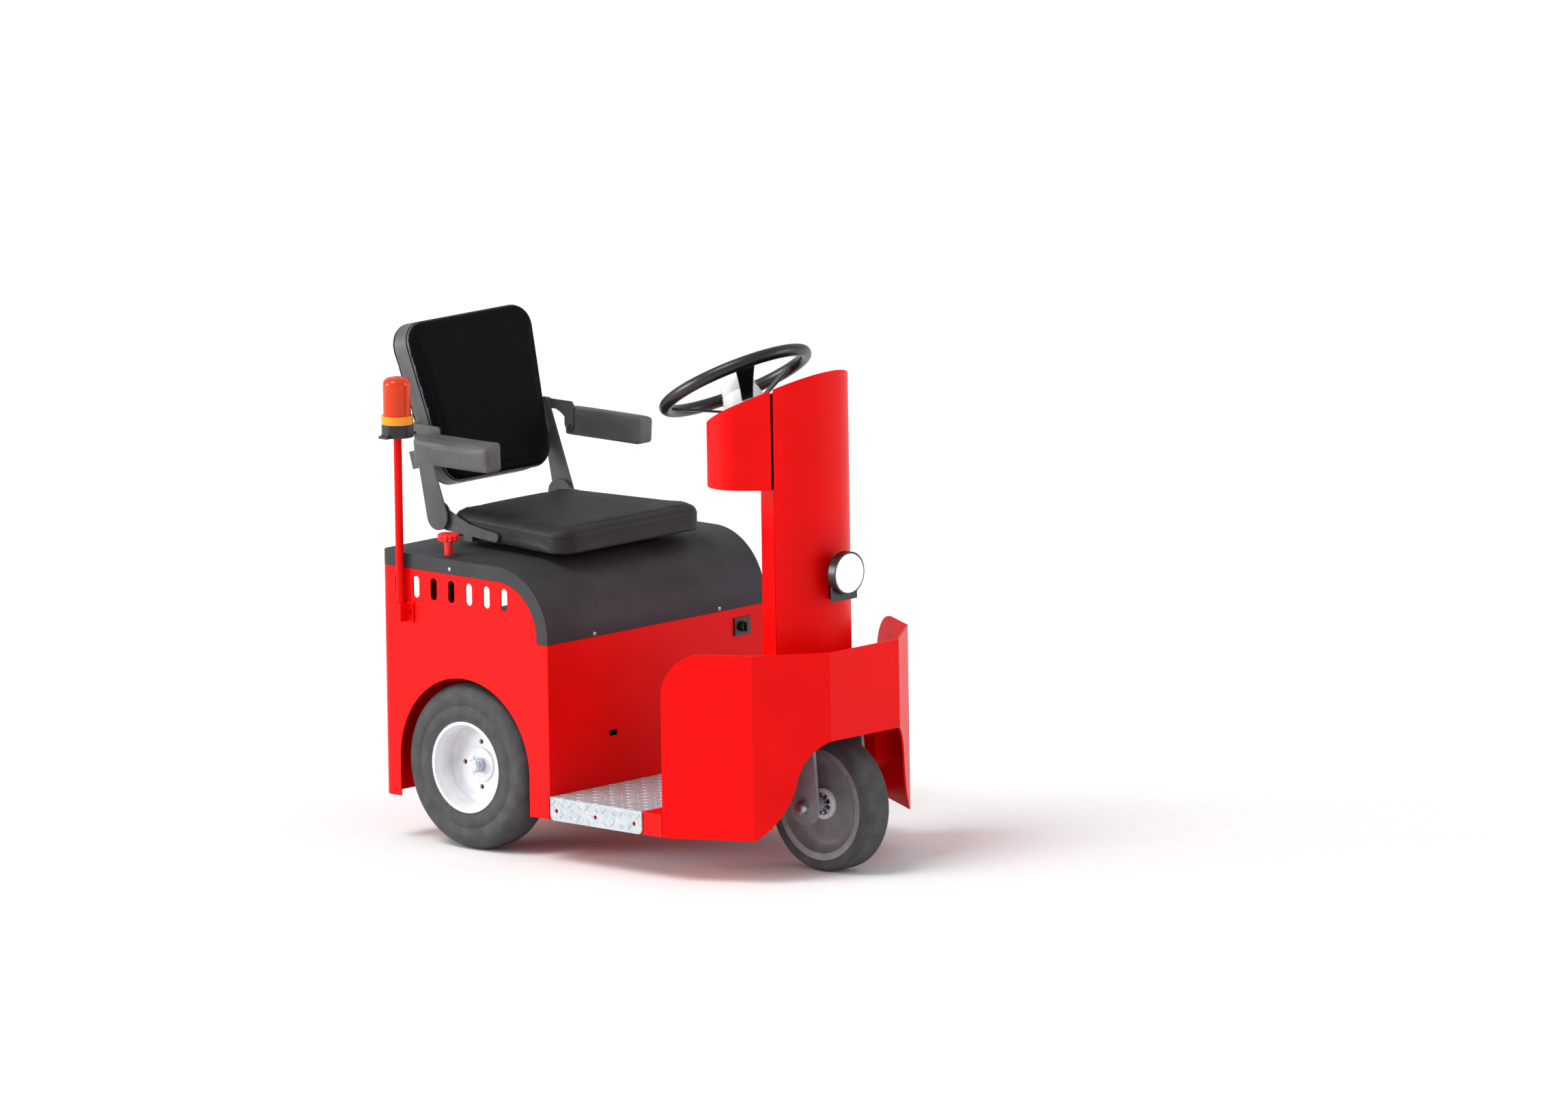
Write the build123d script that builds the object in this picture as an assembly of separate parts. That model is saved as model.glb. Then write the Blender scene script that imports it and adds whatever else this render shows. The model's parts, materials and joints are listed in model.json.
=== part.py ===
"""Ride-on electric tow tractor for airport baggage carts, three wheels, one seat.

Millimetres. X forward, Y to the driver's left, Z up, ground at Z 0. The drawing datum is the
front face of the rear body; every piece is moved by the same offset as it is written, so that the
origin is the centre of the bounding box on the ground.
"""
import os
from math import asin, atan2, cos, degrees, hypot, pi, radians, sin, tan

from build123d import *

os.makedirs("parts", exist_ok=True)

# ---- overall -----------------------------------------------------------------------------------
HALF_W = 350.0            # half width over the side panels
FRAME_Z = 100.0           # underside of panels, apron and frame
ORIGIN_X, ORIGIN_Y = 22.0, -30.0
SHEET = 3.0

# ---- rear body ---------------------------------------------------------------------------------
REAR_X = -517.0
CORNER_R = 27.0           # bent vertical corners at the rear
COVER_Z = 652.0
COVER_R = 151.0           # quarter round at the front of the cover
COVER_T = 4.0
FLANGE = 33.0             # side flange of the cover
LIP_TOP, LIP_BOTTOM = 503.0, 491.5
SLOT_X0, SLOT_PITCH, SLOT_COUNT, SLOT_Z = -132.0, -54.5, 7, 579.5
SLOT_W, SLOT_H = 20.0, 50.0
INNER_WALL_Y = HALF_W - 110   # walls between the wheels and the battery bay
WALL_TOP, BATTERY_TOP = 430.0, 475.0

# ---- rear wheels -------------------------------------------------------------------------------
AXLE_X, AXLE_Z = -262.0, 187.0
TYRE_R, TYRE_W, SHOULDER_R, BEAD_R = 187.0, 97.0, 31.0, 103.0
TYRE_OUT = HALF_W - 1
TYRE_IN = TYRE_OUT - TYRE_W
CHORDS = 3                # flats round each shoulder of a tyre
ARCH_R = 200.0
LUG_PCD, LUG_HOLE_R = 102.0, 6.0
SPINDLE_R = 15.0

# ---- heights over the front wheel --------------------------------------------------------------
FRONT_R, FRONT_TREAD = 151.0, 26.0
CROWN_Z0 = 2 * FRONT_R + 16
CROWN_Z1 = CROWN_Z0 + 16
BOX_Z = CROWN_Z1 + 12

# ---- floor, toe board and wheel box ------------------------------------------------------------
FLOOR_Z = 152.0
TREAD_X = 281.0
TOE_X0, TOE_X1, TOE_Z1 = 346.0, 505.0, 224.0
BOX_Y, BOX_X0, BOX_X1 = 165.0, 352.0, 628.0

# ---- apron: plan corners of the near half, mirrored for the other ------------------------------
APRON_T = 4.0
APRON_TOP, NOSE_BOTTOM = 515.0, 316.0
APRON_P = [(345.0, -HALF_W), (530.0, -251.0), (635.0, -110.5), (635.0, 110.5)]
APRON_CORNER_R = 100.0

# ---- steering column ---------------------------------------------------------------------------
NOSE_R, NOSE_CX = 147.0, 394.0
NOSE_HALF = 54.0          # half angle of the rounded shell, from straight ahead
POD_Z = 861.0
DECK_X, DECK_Z, DECK_SLOPE = 319.0, 1002.0, 0.5317
POD_CORNER_X, POD_CORNER_Y, POD_CORNER_R = 371.2, 109.1, 75.0
BACK_X, BACK_HALF = 374.0, 50.0

# ---- steering wheel, tilted back about Y -------------------------------------------------------
WHEEL_C, WHEEL_TILT = (253.4, 1068.0), 29.1
RIM_R, RIM_TUBE = 166.0, 14.0
HEAD_R, SHAFT_R = 29.0, 9.0

# ---- front wheel and fork ----------------------------------------------------------------------
STEER_X, FRONT_HALF = 523.0, 37.0
LEG_Y, LEG_T = 74.0, 8.0
STEM_R = 12.0
BOLT_R = 10.0
RUN = 0.06                # running clearance of pins and shafts, on the radius

# ---- seat --------------------------------------------------------------------------------------
CUSHION_X0, CUSHION_X1, CUSHION_Z0, CUSHION_Z1 = -465.0, -62.0, 668.0, 728.0
CUSHION_HALF0, CUSHION_HALF1 = 185.0, 235.0     # half width at the back and at the front
HINGE_X, HINGE_Z, BACK_TILT = -478.0, 709.5, 16.2
HINGE_R, PIVOT_R = 31.0, 14.5      # ends of the side plates
BACK_H0, BACK_H1, BACK_N0, BACK_N1 = 65.3, 435.3, -31.7, 36.3
BACK_PLATE_Y, ARM_PLATE_Y, PLATE_T = 201.0, 211.7, 4.0
ARM_H = 204.0             # arm pivot, along the backrest from the hinge
ARM_X0, ARM_X1, ARM_Y0, ARM_Y1, ARM_Z0, ARM_Z1 = -490.0, -259.0, 216.0, 272.0, 836.0, 907.0

# ---- lamps and small pieces --------------------------------------------------------------------
LAMP_Z, LAMP_X, LAMP_R = 673.0, 565.0, 48.0
POLE_R = 9.0
BEACON_X, BEACON_Y = -442.0, -HALF_W - POLE_R - 3
ESTOP_X, ESTOP_Y = -335.0, -HALF_W + 34
KEY_Y, KEY_Z = HALF_W - 79, 449.0


def box(x0, x1, y0, y1, z0, z1):
    return Pos((x0 + x1) / 2, (y0 + y1) / 2, (z0 + z1) / 2) * Box(x1 - x0, y1 - y0, z1 - z0)


def rod_y(x, z, r, y0, y1):
    return Pos(x, (y0 + y1) / 2, z) * Rot(90, 0, 0) * Cylinder(r, abs(y1 - y0))


def rod_x(y, z, r, x0, x1):
    return Pos((x0 + x1) / 2, y, z) * Rot(0, 90, 0) * Cylinder(r, x1 - x0)


def rod_z(x, y, r, z0, z1):
    return Pos(x, y, (z0 + z1) / 2) * Cylinder(r, z1 - z0)


def slab_y(edges, y0, y1):
    """Closed outline drawn in XZ, as a plate between two Y values."""
    return extrude(make_face(Pos(0, y0, 0) * Wire(edges)), amount=y1 - y0, dir=(0, 1, 0))


def outline_xz(points):
    return Polyline(*[(x, 0, z) for x, z in points], close=True).edges()


def plan(edges, z0, z1):
    """Closed outline drawn in XY, as a prism between two heights."""
    return extrude(make_face(Pos(0, 0, z0) * Wire(edges)), amount=z1 - z0, dir=(0, 0, 1))


def other_side(shape):
    return mirror(shape, about=Plane.XZ)


def both(shape):
    return Compound(children=[shape, other_side(shape)])


def save(name, *shapes):
    solids = [s.moved(Location((-ORIGIN_X, -ORIGIN_Y, 0))) for shape in shapes for s in shape.solids()]
    export_step(Compound(children=solids) if len(solids) > 1 else solids[0], f"parts/{name}.step")


# ---- frame and running gear --------------------------------------------------------------------
def chassis_frame():
    """Box-section rails: a narrow pair between the rear wheels, a wide pair under the floor."""
    frame = box(REAR_X + 12, TOE_X0 - 8, -60, 60, FRAME_Z + 2, FRAME_Z + 42)
    rails = [  # x0, x1, y0, y1
        (REAR_X + 12, 0, INNER_WALL_Y - 44, INNER_WALL_Y - SHEET - 0.4), (0, TOE_X0 - 8, HALF_W - 50, HALF_W - 4)]
    members = [  # x0, x1, half length
        (REAR_X + 12, REAR_X + 52, INNER_WALL_Y - 4), (-60, -SHEET - 1, HALF_W - 10), (4, 40, HALF_W - 10),
        (TREAD_X + 5, TOE_X0 - 8, HALF_W - 10)]
    for x0, x1, y0, y1 in rails:
        for side in (1, -1):
            frame += box(x0, x1, min(side * y0, side * y1), max(side * y0, side * y1), FRAME_Z, FLOOR_Z - 4.3)
    for x0, x1, half in members:
        frame += box(x0, x1, -half, half, FRAME_Z, FLOOR_Z - 4.3)
    for side in (1, -1):    # saddles that carry the axle tube
        frame += box(AXLE_X - 35, AXLE_X + 35, side * (INNER_WALL_Y - 35) - 15, side * (INNER_WALL_Y - 35) + 15, FLOOR_Z - 6, AXLE_Z - 20)
    frame -= rod_y(AXLE_X, AXLE_Z, 70, -90, 90) + rod_x(0, AXLE_Z, 66, AXLE_X, -70)
    frame -= rod_y(AXLE_X, AXLE_Z, 25.2, -240, 240)
    return frame


def rear_axle():
    end = INNER_WALL_Y - 4
    tip = TYRE_OUT - 57
    axle = rod_y(AXLE_X, AXLE_Z, 25, -end, end) + rod_y(AXLE_X, AXLE_Z, SPINDLE_R, -tip, tip)
    axle += Pos(AXLE_X, 0, AXLE_Z) * Sphere(64)
    for side in (1, -1):
        axle += rod_y(AXLE_X, AXLE_Z, 38, side * (end - 11), side * end)
    return axle - box(AXLE_X + 50, AXLE_X + 80, -80, 80, 100, 280)


def tyre_section(r, y_in, y_out, shoulder, bead):
    """Half section of a tyre in radius and width: flat tread, chorded shoulders, open bead."""
    step = radians(90 / CHORDS)
    turn = [(shoulder * cos(step * k), shoulder * sin(step * k)) for k in range(CHORDS + 1)]
    outer = [(r - shoulder + c, y_out - shoulder + q) for c, q in turn]
    inner = [(r - shoulder + c, y_in + shoulder - q) for c, q in turn]
    return [(bead, y_in)] + inner[::-1] + outer + [(bead, y_out)]


def tyre(*sizes):
    return revolve(make_face(Polyline(*tyre_section(*sizes), close=True)), Axis.Y)


def rear_tyre(side):
    ring = Pos(AXLE_X, 0, AXLE_Z) * tyre(TYRE_R, TYRE_IN, TYRE_OUT, SHOULDER_R, BEAD_R)
    return ring if side > 0 else other_side(ring)


def rear_rim(side):
    """Pressed rim with its disc, hub barrel and axle nut."""
    o, bead, bore = TYRE_OUT, BEAD_R - 0.3, SPINDLE_R + RUN
    prof = [(bead, o), (96, o), (90, o - 19), (90, o - 49), (82, o - 49), (81, o - 52), (38, o - 52), (38, o - 48), (14, o - 48),
            (14, o - 23), (0, o - 23), (0, o - 55), (bore, o - 55), (bore, o - 107), (44, o - 107),
            (44, o - 87), (38, o - 85), (38, o - 58), (94, o - 58), (94, o - 91), (bead, o - 91)]
    rim = revolve(make_face(Polyline(*prof, close=True)), Axis.Y)
    for k in range(4):
        a = radians(90 * k)
        rim -= rod_y(LUG_PCD / 2 * cos(a), LUG_PCD / 2 * sin(a), LUG_HOLE_R, o - 64, o - 44)
    rim = Pos(AXLE_X, 0, AXLE_Z) * rim
    return rim if side > 0 else other_side(rim)


def front_tyre():
    return Pos(STEER_X, 0, FRONT_R) * tyre(FRONT_R, -FRONT_HALF, FRONT_HALF, 8, FRONT_R - FRONT_TREAD)


def front_wheel_centre():
    """Dished disc with its bearing ring, bored to run on the through bolt."""
    bore, rim = BOLT_R + RUN, FRONT_R - FRONT_TREAD - 0.2
    dish = [(rim - 40.8, 17), (rim - 26.8, 21), (rim - 14.8, FRONT_HALF - 2)]
    ring = Polyline((rim, FRONT_HALF - 0.5), (rim, 0), (bore, 0), (bore, 15), (24, 15), (24, 25), (34, 25), (34, 17),
                    dish[0])
    half = ring.edges() + [ThreePointArc(*dish), Line(dish[-1], (rim, FRONT_HALF - 0.5))]
    disc = revolve(make_face(Wire(half)), Axis.Y)
    disc += other_side(disc)
    return Pos(STEER_X, 0, FRONT_R) * disc


def steer_fork():
    """Stem, crown and two tapered legs with round ends."""
    fork = rod_z(STEER_X, 0, STEM_R, CROWN_Z0 + 1, BOX_Z + 8) + rod_z(STEER_X, 0, 58, CROWN_Z1 - 6, CROWN_Z1)
    fork += box(STEER_X - 34, STEER_X + 34, -LEG_Y - LEG_T, LEG_Y + LEG_T, CROWN_Z0, CROWN_Z1)
    for side in (1, -1):
        y0, y1 = sorted((side * LEG_Y, side * (LEG_Y + LEG_T)))
        leg = slab_y(outline_xz([(STEER_X - 40, FRONT_R), (STEER_X + 40, FRONT_R), (STEER_X + 26, CROWN_Z0 + 2),
                                 (STEER_X - 26, CROWN_Z0 + 2)]), y0, y1)
        fork += leg + rod_y(STEER_X, FRONT_R, 40, y0, y1)
    return fork - rod_y(STEER_X, FRONT_R, BOLT_R + 0.2, -120, 120)


def front_axle():
    """Through bolt with its nuts, and the spacers each side of the bearing ring."""
    axle = rod_y(STEER_X, FRONT_R, BOLT_R, -104, 104)
    for side in (1, -1):
        axle += rod_y(STEER_X, FRONT_R, 16, side * 15.5, side * (LEG_Y - 0.2))
        axle += rod_y(STEER_X, FRONT_R, 14, side * (LEG_Y + LEG_T + 0.2), side * 93)
    return axle


# ---- rear body ---------------------------------------------------------------------------------
def cover_profile(inset):
    """Side profile of the cover, inset from its outer surface; open at the bottom."""
    r, top, front = COVER_R - inset, COVER_Z - inset, -inset
    xt = front - r
    k = r * sin(radians(45))
    return (Line((REAR_X, 0, top), (xt, 0, top)),
            ThreePointArc((xt, 0, top), (xt + k, 0, top - r + k), (front, 0, top - r)), top - r, front)


def profile_slab(inset, y0, y1, bottom):
    flat, arc, zlow, front = cover_profile(inset)
    edges = [flat, arc, Line((front, 0, zlow), (front, 0, bottom)), Line((front, 0, bottom), (REAR_X, 0, bottom)),
             Line((REAR_X, 0, bottom), (REAR_X, 0, COVER_Z - inset))]
    return slab_y(edges, y0, y1)


def rounded_back(shape):
    """Trim the two vertical rear corners of the body to their bend radius."""
    r = CORNER_R
    for side in (1, -1):
        y0, y1 = sorted((side * (HALF_W - r), side * (HALF_W + 5)))
        shape -= box(REAR_X - 5, REAR_X + r, y0, y1, 0, 800) - rod_z(REAR_X + r, side * (HALF_W - r), r, 0, 800)
    return shape


def top_cover():
    skin = profile_slab(0, -HALF_W, HALF_W, LIP_BOTTOM)
    skin -= profile_slab(COVER_T, -HALF_W + SHEET, HALF_W - SHEET, LIP_BOTTOM - 5) \
        - box(REAR_X - 1, REAR_X + SHEET, -400, 400, 0, 700)
    skin -= profile_slab(FLANGE, -HALF_W - 1, HALF_W + 1, LIP_BOTTOM - 5) \
        - box(-COVER_T, 1, -HALF_W, HALF_W, 0, LIP_TOP + 3)
    skin -= box(REAR_X - 1, REAR_X + 20, -400, 400, 0, COVER_Z - FLANGE)
    for side in (1, -1):
        skin -= rod_y(-299, COVER_Z - 21.5, 4, side * (HALF_W - 10), side * (HALF_W + 10))
        skin -= rod_x(side * 200, LIP_TOP - 5, 4, -10, 5)
    return rounded_back(skin)


def side_panel(side):
    """Sheet side with the wheel arch, seven upright slots and the bent rear edge."""
    y0, y1 = HALF_W - 50, HALF_W + 50
    panel = profile_slab(FLANGE + 0.6, HALF_W - SHEET, HALF_W, FRAME_Z)
    panel -= box(REAR_X - 1, REAR_X + CORNER_R, y0, y1, 0, 700)
    panel -= box(-SHEET - 0.5, 1, y0, y1, FLOOR_Z, 700)
    panel += box(-FLANGE - 2, -SHEET - 0.5, HALF_W - SHEET, HALF_W, FRAME_Z, LIP_BOTTOM - 0.6)
    arch = rod_y(AXLE_X, AXLE_Z, ARCH_R, y0, y1) + box(AXLE_X - ARCH_R, AXLE_X + ARCH_R, y0, y1, 0, AXLE_Z)
    panel -= arch
    for k in range(SLOT_COUNT):
        x = SLOT_X0 + k * SLOT_PITCH
        slot = box(x - SLOT_W / 2, x + SLOT_W / 2, y0, y1, SLOT_Z - 15, SLOT_Z + 15)
        panel -= slot + rod_y(x, SLOT_Z - 15, SLOT_W / 2, y0, y1) + rod_y(x, SLOT_Z + 15, SLOT_W / 2, y0, y1)
    return panel if side > 0 else other_side(panel)


def rear_panel():
    """Back sheet with its window, wrapped round both corners to meet the side panels."""
    top = COVER_Z - FLANGE - 0.6
    back = box(REAR_X, REAR_X + CORNER_R, -HALF_W, HALF_W, FRAME_Z, top)
    r = CORNER_R
    back = rounded_back(back)
    inner = box(REAR_X + SHEET, REAR_X + r + 1, -HALF_W + SHEET, HALF_W - SHEET, 0, 800)
    for side in (1, -1):
        y0, y1 = sorted((side * (HALF_W - r), side * HALF_W))
        inner -= box(REAR_X, REAR_X + r, y0, y1, 0, 800) - rod_z(REAR_X + r, side * (HALF_W - r), r - SHEET, 0, 800)
    back -= box(REAR_X - 1, REAR_X + 10, -90, 90, 455, 535)
    for side in (1, -1):    # upright slots high on each side
        back -= box(REAR_X - 1, REAR_X + 10, side * 232 - 13, side * 232 + 13, 525, 575)
    return back - inner


def front_panel():
    panel = box(-SHEET, 0, -HALF_W, HALF_W, FLOOR_Z + 0.3, LIP_BOTTOM - 0.6)
    panel -= box(-10, 5, -157, -131, 261, 274)
    return panel - box(-10, 5, KEY_Y - 20, KEY_Y + 20, KEY_Z - 16, KEY_Z + 16)


def inner_walls():
    """Bay walls beside the rear wheels, and the two bearers that carry the battery."""
    y0, y1 = INNER_WALL_Y - SHEET, INNER_WALL_Y
    wall = box(REAR_X + SHEET + 0.3, -SHEET - 0.3, y0, y1, FRAME_Z + 8, WALL_TOP)
    wall -= rod_y(AXLE_X, AXLE_Z, 48, y0 - 20, y1 + 20) + box(-62, 0, y0 - 20, y1 + 20, 0, FLOOR_Z)
    return both(wall)


def battery_bearers():
    bearers = box(-470, -430, -INNER_WALL_Y + SHEET, INNER_WALL_Y - SHEET, 268, 292)
    return Compound(children=[bearers, Pos(360, 0, 0) * bearers])


# ---- floor and apron ---------------------------------------------------------------------------
def tread_plate():
    """Floor plate with a folded skirt over each rail; the skirt's lower corners are rounded."""
    plate = box(0.5, TREAD_X, -HALF_W, HALF_W, FLOOR_Z - 4, FLOOR_Z)
    for side in (1, -1):
        y0, y1 = sorted((side * (HALF_W - 3.5), side * HALF_W))
        skirt = box(0.5, TREAD_X, y0, y1, FRAME_Z, FLOOR_Z - 2)
        skirt = fillet(skirt.edges().filter_by(Axis.Y).group_by(Axis.Z)[0], 12)
        for x in (20, 139, 258):
            skirt -= rod_y(x, FRAME_Z + 22, 5, side * (HALF_W - 20), side * (HALF_W + 20))
        plate += skirt
    return plate


def wing_y(x, gap):
    """Half width inside the apron's wings at x, less a gap to the sheet."""
    (ax, ay), (bx, by) = APRON_P[:2]
    slope = (by - ay) / (bx - ax)
    return -ay - slope * (x - ax) - (APRON_T + gap) * hypot(1, slope)


def toe_board():
    """Flat strip ahead of the tread plate, then the board that slopes up to the bulkheads."""
    y_in = wing_y(TOE_X0, 0.8)
    board = box(TREAD_X + 1, TOE_X0 - 5, -HALF_W + 1, HALF_W - 1, FLOOR_Z - 4, FLOOR_Z)
    board += box(TOE_X0 - 6, TOE_X0 - 2, -y_in, y_in, FLOOR_Z - 4, FLOOR_Z)
    ramp = slab_y(outline_xz([(TOE_X0 - 3, FLOOR_Z), (TOE_X1 - 3.5, TOE_Z1 - 1), (TOE_X1 - 3.5, TOE_Z1 - 5),
                              (TOE_X0 - 3, FLOOR_Z - 4)]), -HALF_W, HALF_W)
    x_end = TOE_X1 + 20
    y_end = wing_y(x_end, 0.8)
    inside = plan(Polyline((TREAD_X, -y_in), (TOE_X0, -y_in), (x_end, -y_end), (x_end, y_end), (TOE_X0, y_in),
                           (TREAD_X, y_in), close=True).edges(), 0, 400)
    ramp = ramp & inside
    ramp -= box(BOX_X0 - 1, 700, -BOX_Y - 4, BOX_Y + 4, 0, 400)
    return board + ramp


def bulkheads():
    """Upright plates between the wheel box and the apron, facing forward."""
    return both(box(TOE_X1 - 3, TOE_X1, BOX_Y + 3.5, wing_y(TOE_X1, 0.7), TOE_Z1 - 8, BOX_Z))


def wheel_box():
    """Box over the front wheel: two sides, a back and the deck that carries the steering head."""
    y = BOX_Y + 3
    deck = Polyline((BOX_X0, -y), (580, -y), (BOX_X1, -104), (BOX_X1, 104), (580, y), (BOX_X0, y), close=True)
    body = plan(deck.edges(), BOX_Z - 4, BOX_Z)
    for side in (1, -1):
        y0, y1 = sorted((side * BOX_Y, side * (BOX_Y + 3)))
        body += box(BOX_X0, TOE_X1, y0, y1, FRAME_Z + 10, BOX_Z)
    body += box(BOX_X0, BOX_X0 + 3, -BOX_Y - 3, BOX_Y + 3, FRAME_Z + 10, BOX_Z)
    return body - rod_z(STEER_X, 0, STEM_R + 1, 300, 400)


def apron():
    """Folded plate round the front: a side wing, a raked panel and a nose, mirrored."""
    h = APRON_TOP - FRAME_Z
    nose_h = NOSE_BOTTOM - FRAME_Z
    r = APRON_CORNER_R
    k = r * (1 - cos(radians(45)))
    (ax, ay), (bx, by), (cx, cy) = APRON_P[:3]

    def panel(x0, y0, x1, y1, edges):
        length = hypot(x1 - x0, y1 - y0)
        d = ((x1 - x0) / length, (y1 - y0) / length, 0)
        pl = Plane(origin=(x0, y0, FRAME_Z), x_dir=d, z_dir=(d[1], -d[0], 0))
        return extrude(pl * make_face(Wire(edges)), amount=-APRON_T)

    l1, l2 = hypot(bx - ax, by - ay), hypot(cx - bx, cy - by)
    wing = [Line((0, 0), (l1, 0)), Line((l1, 0), (l1, h)), Line((l1, h), (r, h)),
            ThreePointArc((r, h), (k, h - k), (0, h - r)), Line((0, h - r), (0, 0))]
    s0, s1, s2 = (4, 0), (101, 138), (l2, nose_h)
    raked = [Line((0, 0), s0), ThreePointArc(s0, (61, 49), s1), ThreePointArc(s1, (128, 185), s2),
             Line(s2, (l2, h)), Line((l2, h), (0, h)), Line((0, h), (0, 0))]
    half = panel(ax, ay, bx, by, wing) + panel(bx, by, cx, cy, raked)
    nose = box(cx - APRON_T, cx, cy, -cy, NOSE_BOTTOM, APRON_TOP)
    return half + other_side(half) + nose


# ---- steering column ---------------------------------------------------------------------------
def below_deck(shape, drop=0.0):
    """Cut by the sloping plane of the column's top, lowered by a drop measured upright."""
    z = lambda x: DECK_Z - drop + DECK_SLOPE * (x - DECK_X)
    return shape & slab_y(outline_xz([(200, 300), (600, 300), (600, z(600)), (200, z(200))]), -300, 300)


def nose_arc(r, half=NOSE_HALF):
    a = radians(half)
    return ThreePointArc((NOSE_CX + r * cos(a), -r * sin(a)), (NOSE_CX + r, 0), (NOSE_CX + r * cos(a), r * sin(a)))


def column_shell():
    outer, inner = nose_arc(NOSE_R), nose_arc(NOSE_R - SHEET)
    ring = plan([outer, inner, Line(outer @ 0, inner @ 0), Line(outer @ 1, inner @ 1)], BOX_Z + 0.3, 1200)
    return below_deck(ring)


def column_back():
    """Tapered channel that closes the shell from behind, up to the pod."""
    a = radians(NOSE_HALF)
    fx, fy = NOSE_CX + NOSE_R * cos(a) - 5, NOSE_R * sin(a) - 4
    t = SHEET
    ends = [(fx, -fy), (BACK_X, -BACK_HALF), (BACK_X, BACK_HALF), (fx, fy), (fx, fy - 1.2 * t),
            (BACK_X + t, BACK_HALF - 0.6 * t), (BACK_X + t, -BACK_HALF + 0.6 * t), (fx, -fy + 1.2 * t)]
    return plan(Polyline(*ends, close=True).edges(), BOX_Z + 0.3, POD_Z - 0.4)


def pod_outline(inset):
    """Plan of the pod: raked flats, round rear corners and a shallow bowed back."""
    a = radians(NOSE_HALF)
    x0, y0 = NOSE_CX + NOSE_R * cos(a), NOSE_R * sin(a)
    cx, cy = POD_CORNER_X, POD_CORNER_Y
    d = asin(POD_CORNER_R / hypot(cx - x0, cy - y0)) - atan2(cy - y0, cx - x0) - pi   # the flat is tangent
    r = POD_CORNER_R - inset
    at = lambda deg: (cx + r * sin(radians(deg)), cy + r * cos(radians(deg)))
    bow = cy / sin(radians(30))
    bow_r, bow_x = bow + r, cx + bow * cos(radians(30))
    p0 = (x0 - 0.6, y0 - inset / cos(d) + 0.6 * tan(d))
    turn = degrees(d)
    near = [Line(p0, at(turn)), ThreePointArc(at(turn), at(-10), at(-60))]
    flip = lambda p: (p[0], -p[1])
    far = [Line(flip(p0), flip(at(turn))), ThreePointArc(flip(at(turn)), flip(at(-10)), flip(at(-60)))]
    back = ThreePointArc(at(-60), (bow_x - bow_r, 0), flip(at(-60)))
    return near + [back] + far + [Line(p0, flip(p0))]


def dash_pod():
    walls = plan(pod_outline(0), POD_Z, 1200) - plan(pod_outline(SHEET), POD_Z + SHEET, 1200)
    ring = rod_z(NOSE_CX, 0, NOSE_R + 0.3, 0, 1300) - rod_z(NOSE_CX, 0, NOSE_R - SHEET - 0.3, 0, 1300)
    walls -= ring & box(460, 600, -200, 200, 0, 1300)
    return below_deck(walls)


def steer_axis(s):
    """Point on the steering wheel's axis, s above the wheel's centre."""
    t = radians(WHEEL_TILT)
    return WHEEL_C[0] - s * sin(t), WHEEL_C[1] + s * cos(t)


def on_axis(shape):
    return Pos(WHEEL_C[0], 0, WHEEL_C[1]) * Rot(0, -WHEEL_TILT, 0) * shape


def dash_top():
    """Plate just under the rim of the pod and shell, with a hole for the column head."""
    pod = plan(pod_outline(SHEET + 0.3), 700, 1250)
    nose = plan([nose_arc(NOSE_R - SHEET - 0.3), Line(nose_arc(NOSE_R - SHEET - 0.3) @ 0,
                                                     nose_arc(NOSE_R - SHEET - 0.3) @ 1)], 700, 1250)
    lid = pod + nose
    lid = below_deck(lid, 6) - below_deck(lid, 10)
    return lid - on_axis(Pos(0, 0, -150) * Cylinder(HEAD_R + 0.6, 300))


def column_head():
    """Turned white head of the steering column, from inside the pod up to the wheel's hub."""
    head = Pos(0, 0, -72) * Cylinder(HEAD_R, 96) + Pos(0, 0, -22) * Cylinder(HEAD_R - 3, 8)
    return on_axis(head - Pos(0, 0, -30) * Cylinder(SHAFT_R + RUN, 40))


def steering_head():
    """Bearing ring under the deck that the fork's crown turns against."""
    return rod_z(STEER_X, 0, 60, CROWN_Z1 + 0.5, BOX_Z - 4.2) - rod_z(STEER_X, 0, STEM_R + RUN, 300, 500)


def steering_rim():
    return on_axis(Torus(RIM_R, RIM_TUBE))


def steering_spokes():
    """Hub with a centre cap and three flat spokes that widen towards the hub."""
    hub = Pos(0, 0, -8) * Cylinder(32, 14)
    hub += Pos(0, 0, 1) * Cylinder(24, 6) + Pos(0, 0, -28) * Cylinder(SHAFT_R, 32)
    for k in range(3):
        spoke = Polyline((20, -24), (RIM_R - 13, -14), (RIM_R - 13, 14), (20, 24), close=True)
        hub += Rot(0, 0, 60 + 120 * k) * Pos(0, 0, -9) * extrude(make_face(spoke), amount=7)
    hub -= Torus(RIM_R, RIM_TUBE + 0.2)
    return on_axis(hub)


# ---- lamps -------------------------------------------------------------------------------------
def headlight_bracket():
    """Plate across the underside of the housing, on a neck from the shell."""
    neck = box(NOSE_CX + NOSE_R - 40, LAMP_X + 10, -12, 12, LAMP_Z - 62, LAMP_Z - 33)
    neck -= rod_z(NOSE_CX, 0, NOSE_R + 0.2, 500, 800)
    plate = neck + box(LAMP_X + 8, LAMP_X + 13, -39.4, 39.4, LAMP_Z - 62, LAMP_Z - 23)
    return plate - rod_x(0, LAMP_Z, LAMP_R + 0.4, LAMP_X - 1, LAMP_X + 40)


def headlight_housing():
    shell = rod_x(0, LAMP_Z, LAMP_R, LAMP_X, LAMP_X + 28)
    shell = fillet(shell.edges().filter_by(GeomType.CIRCLE).group_by(Axis.X)[0], 10)
    return shell - rod_x(0, LAMP_Z, LAMP_R - 4, LAMP_X + 18, LAMP_X + 40)


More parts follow.
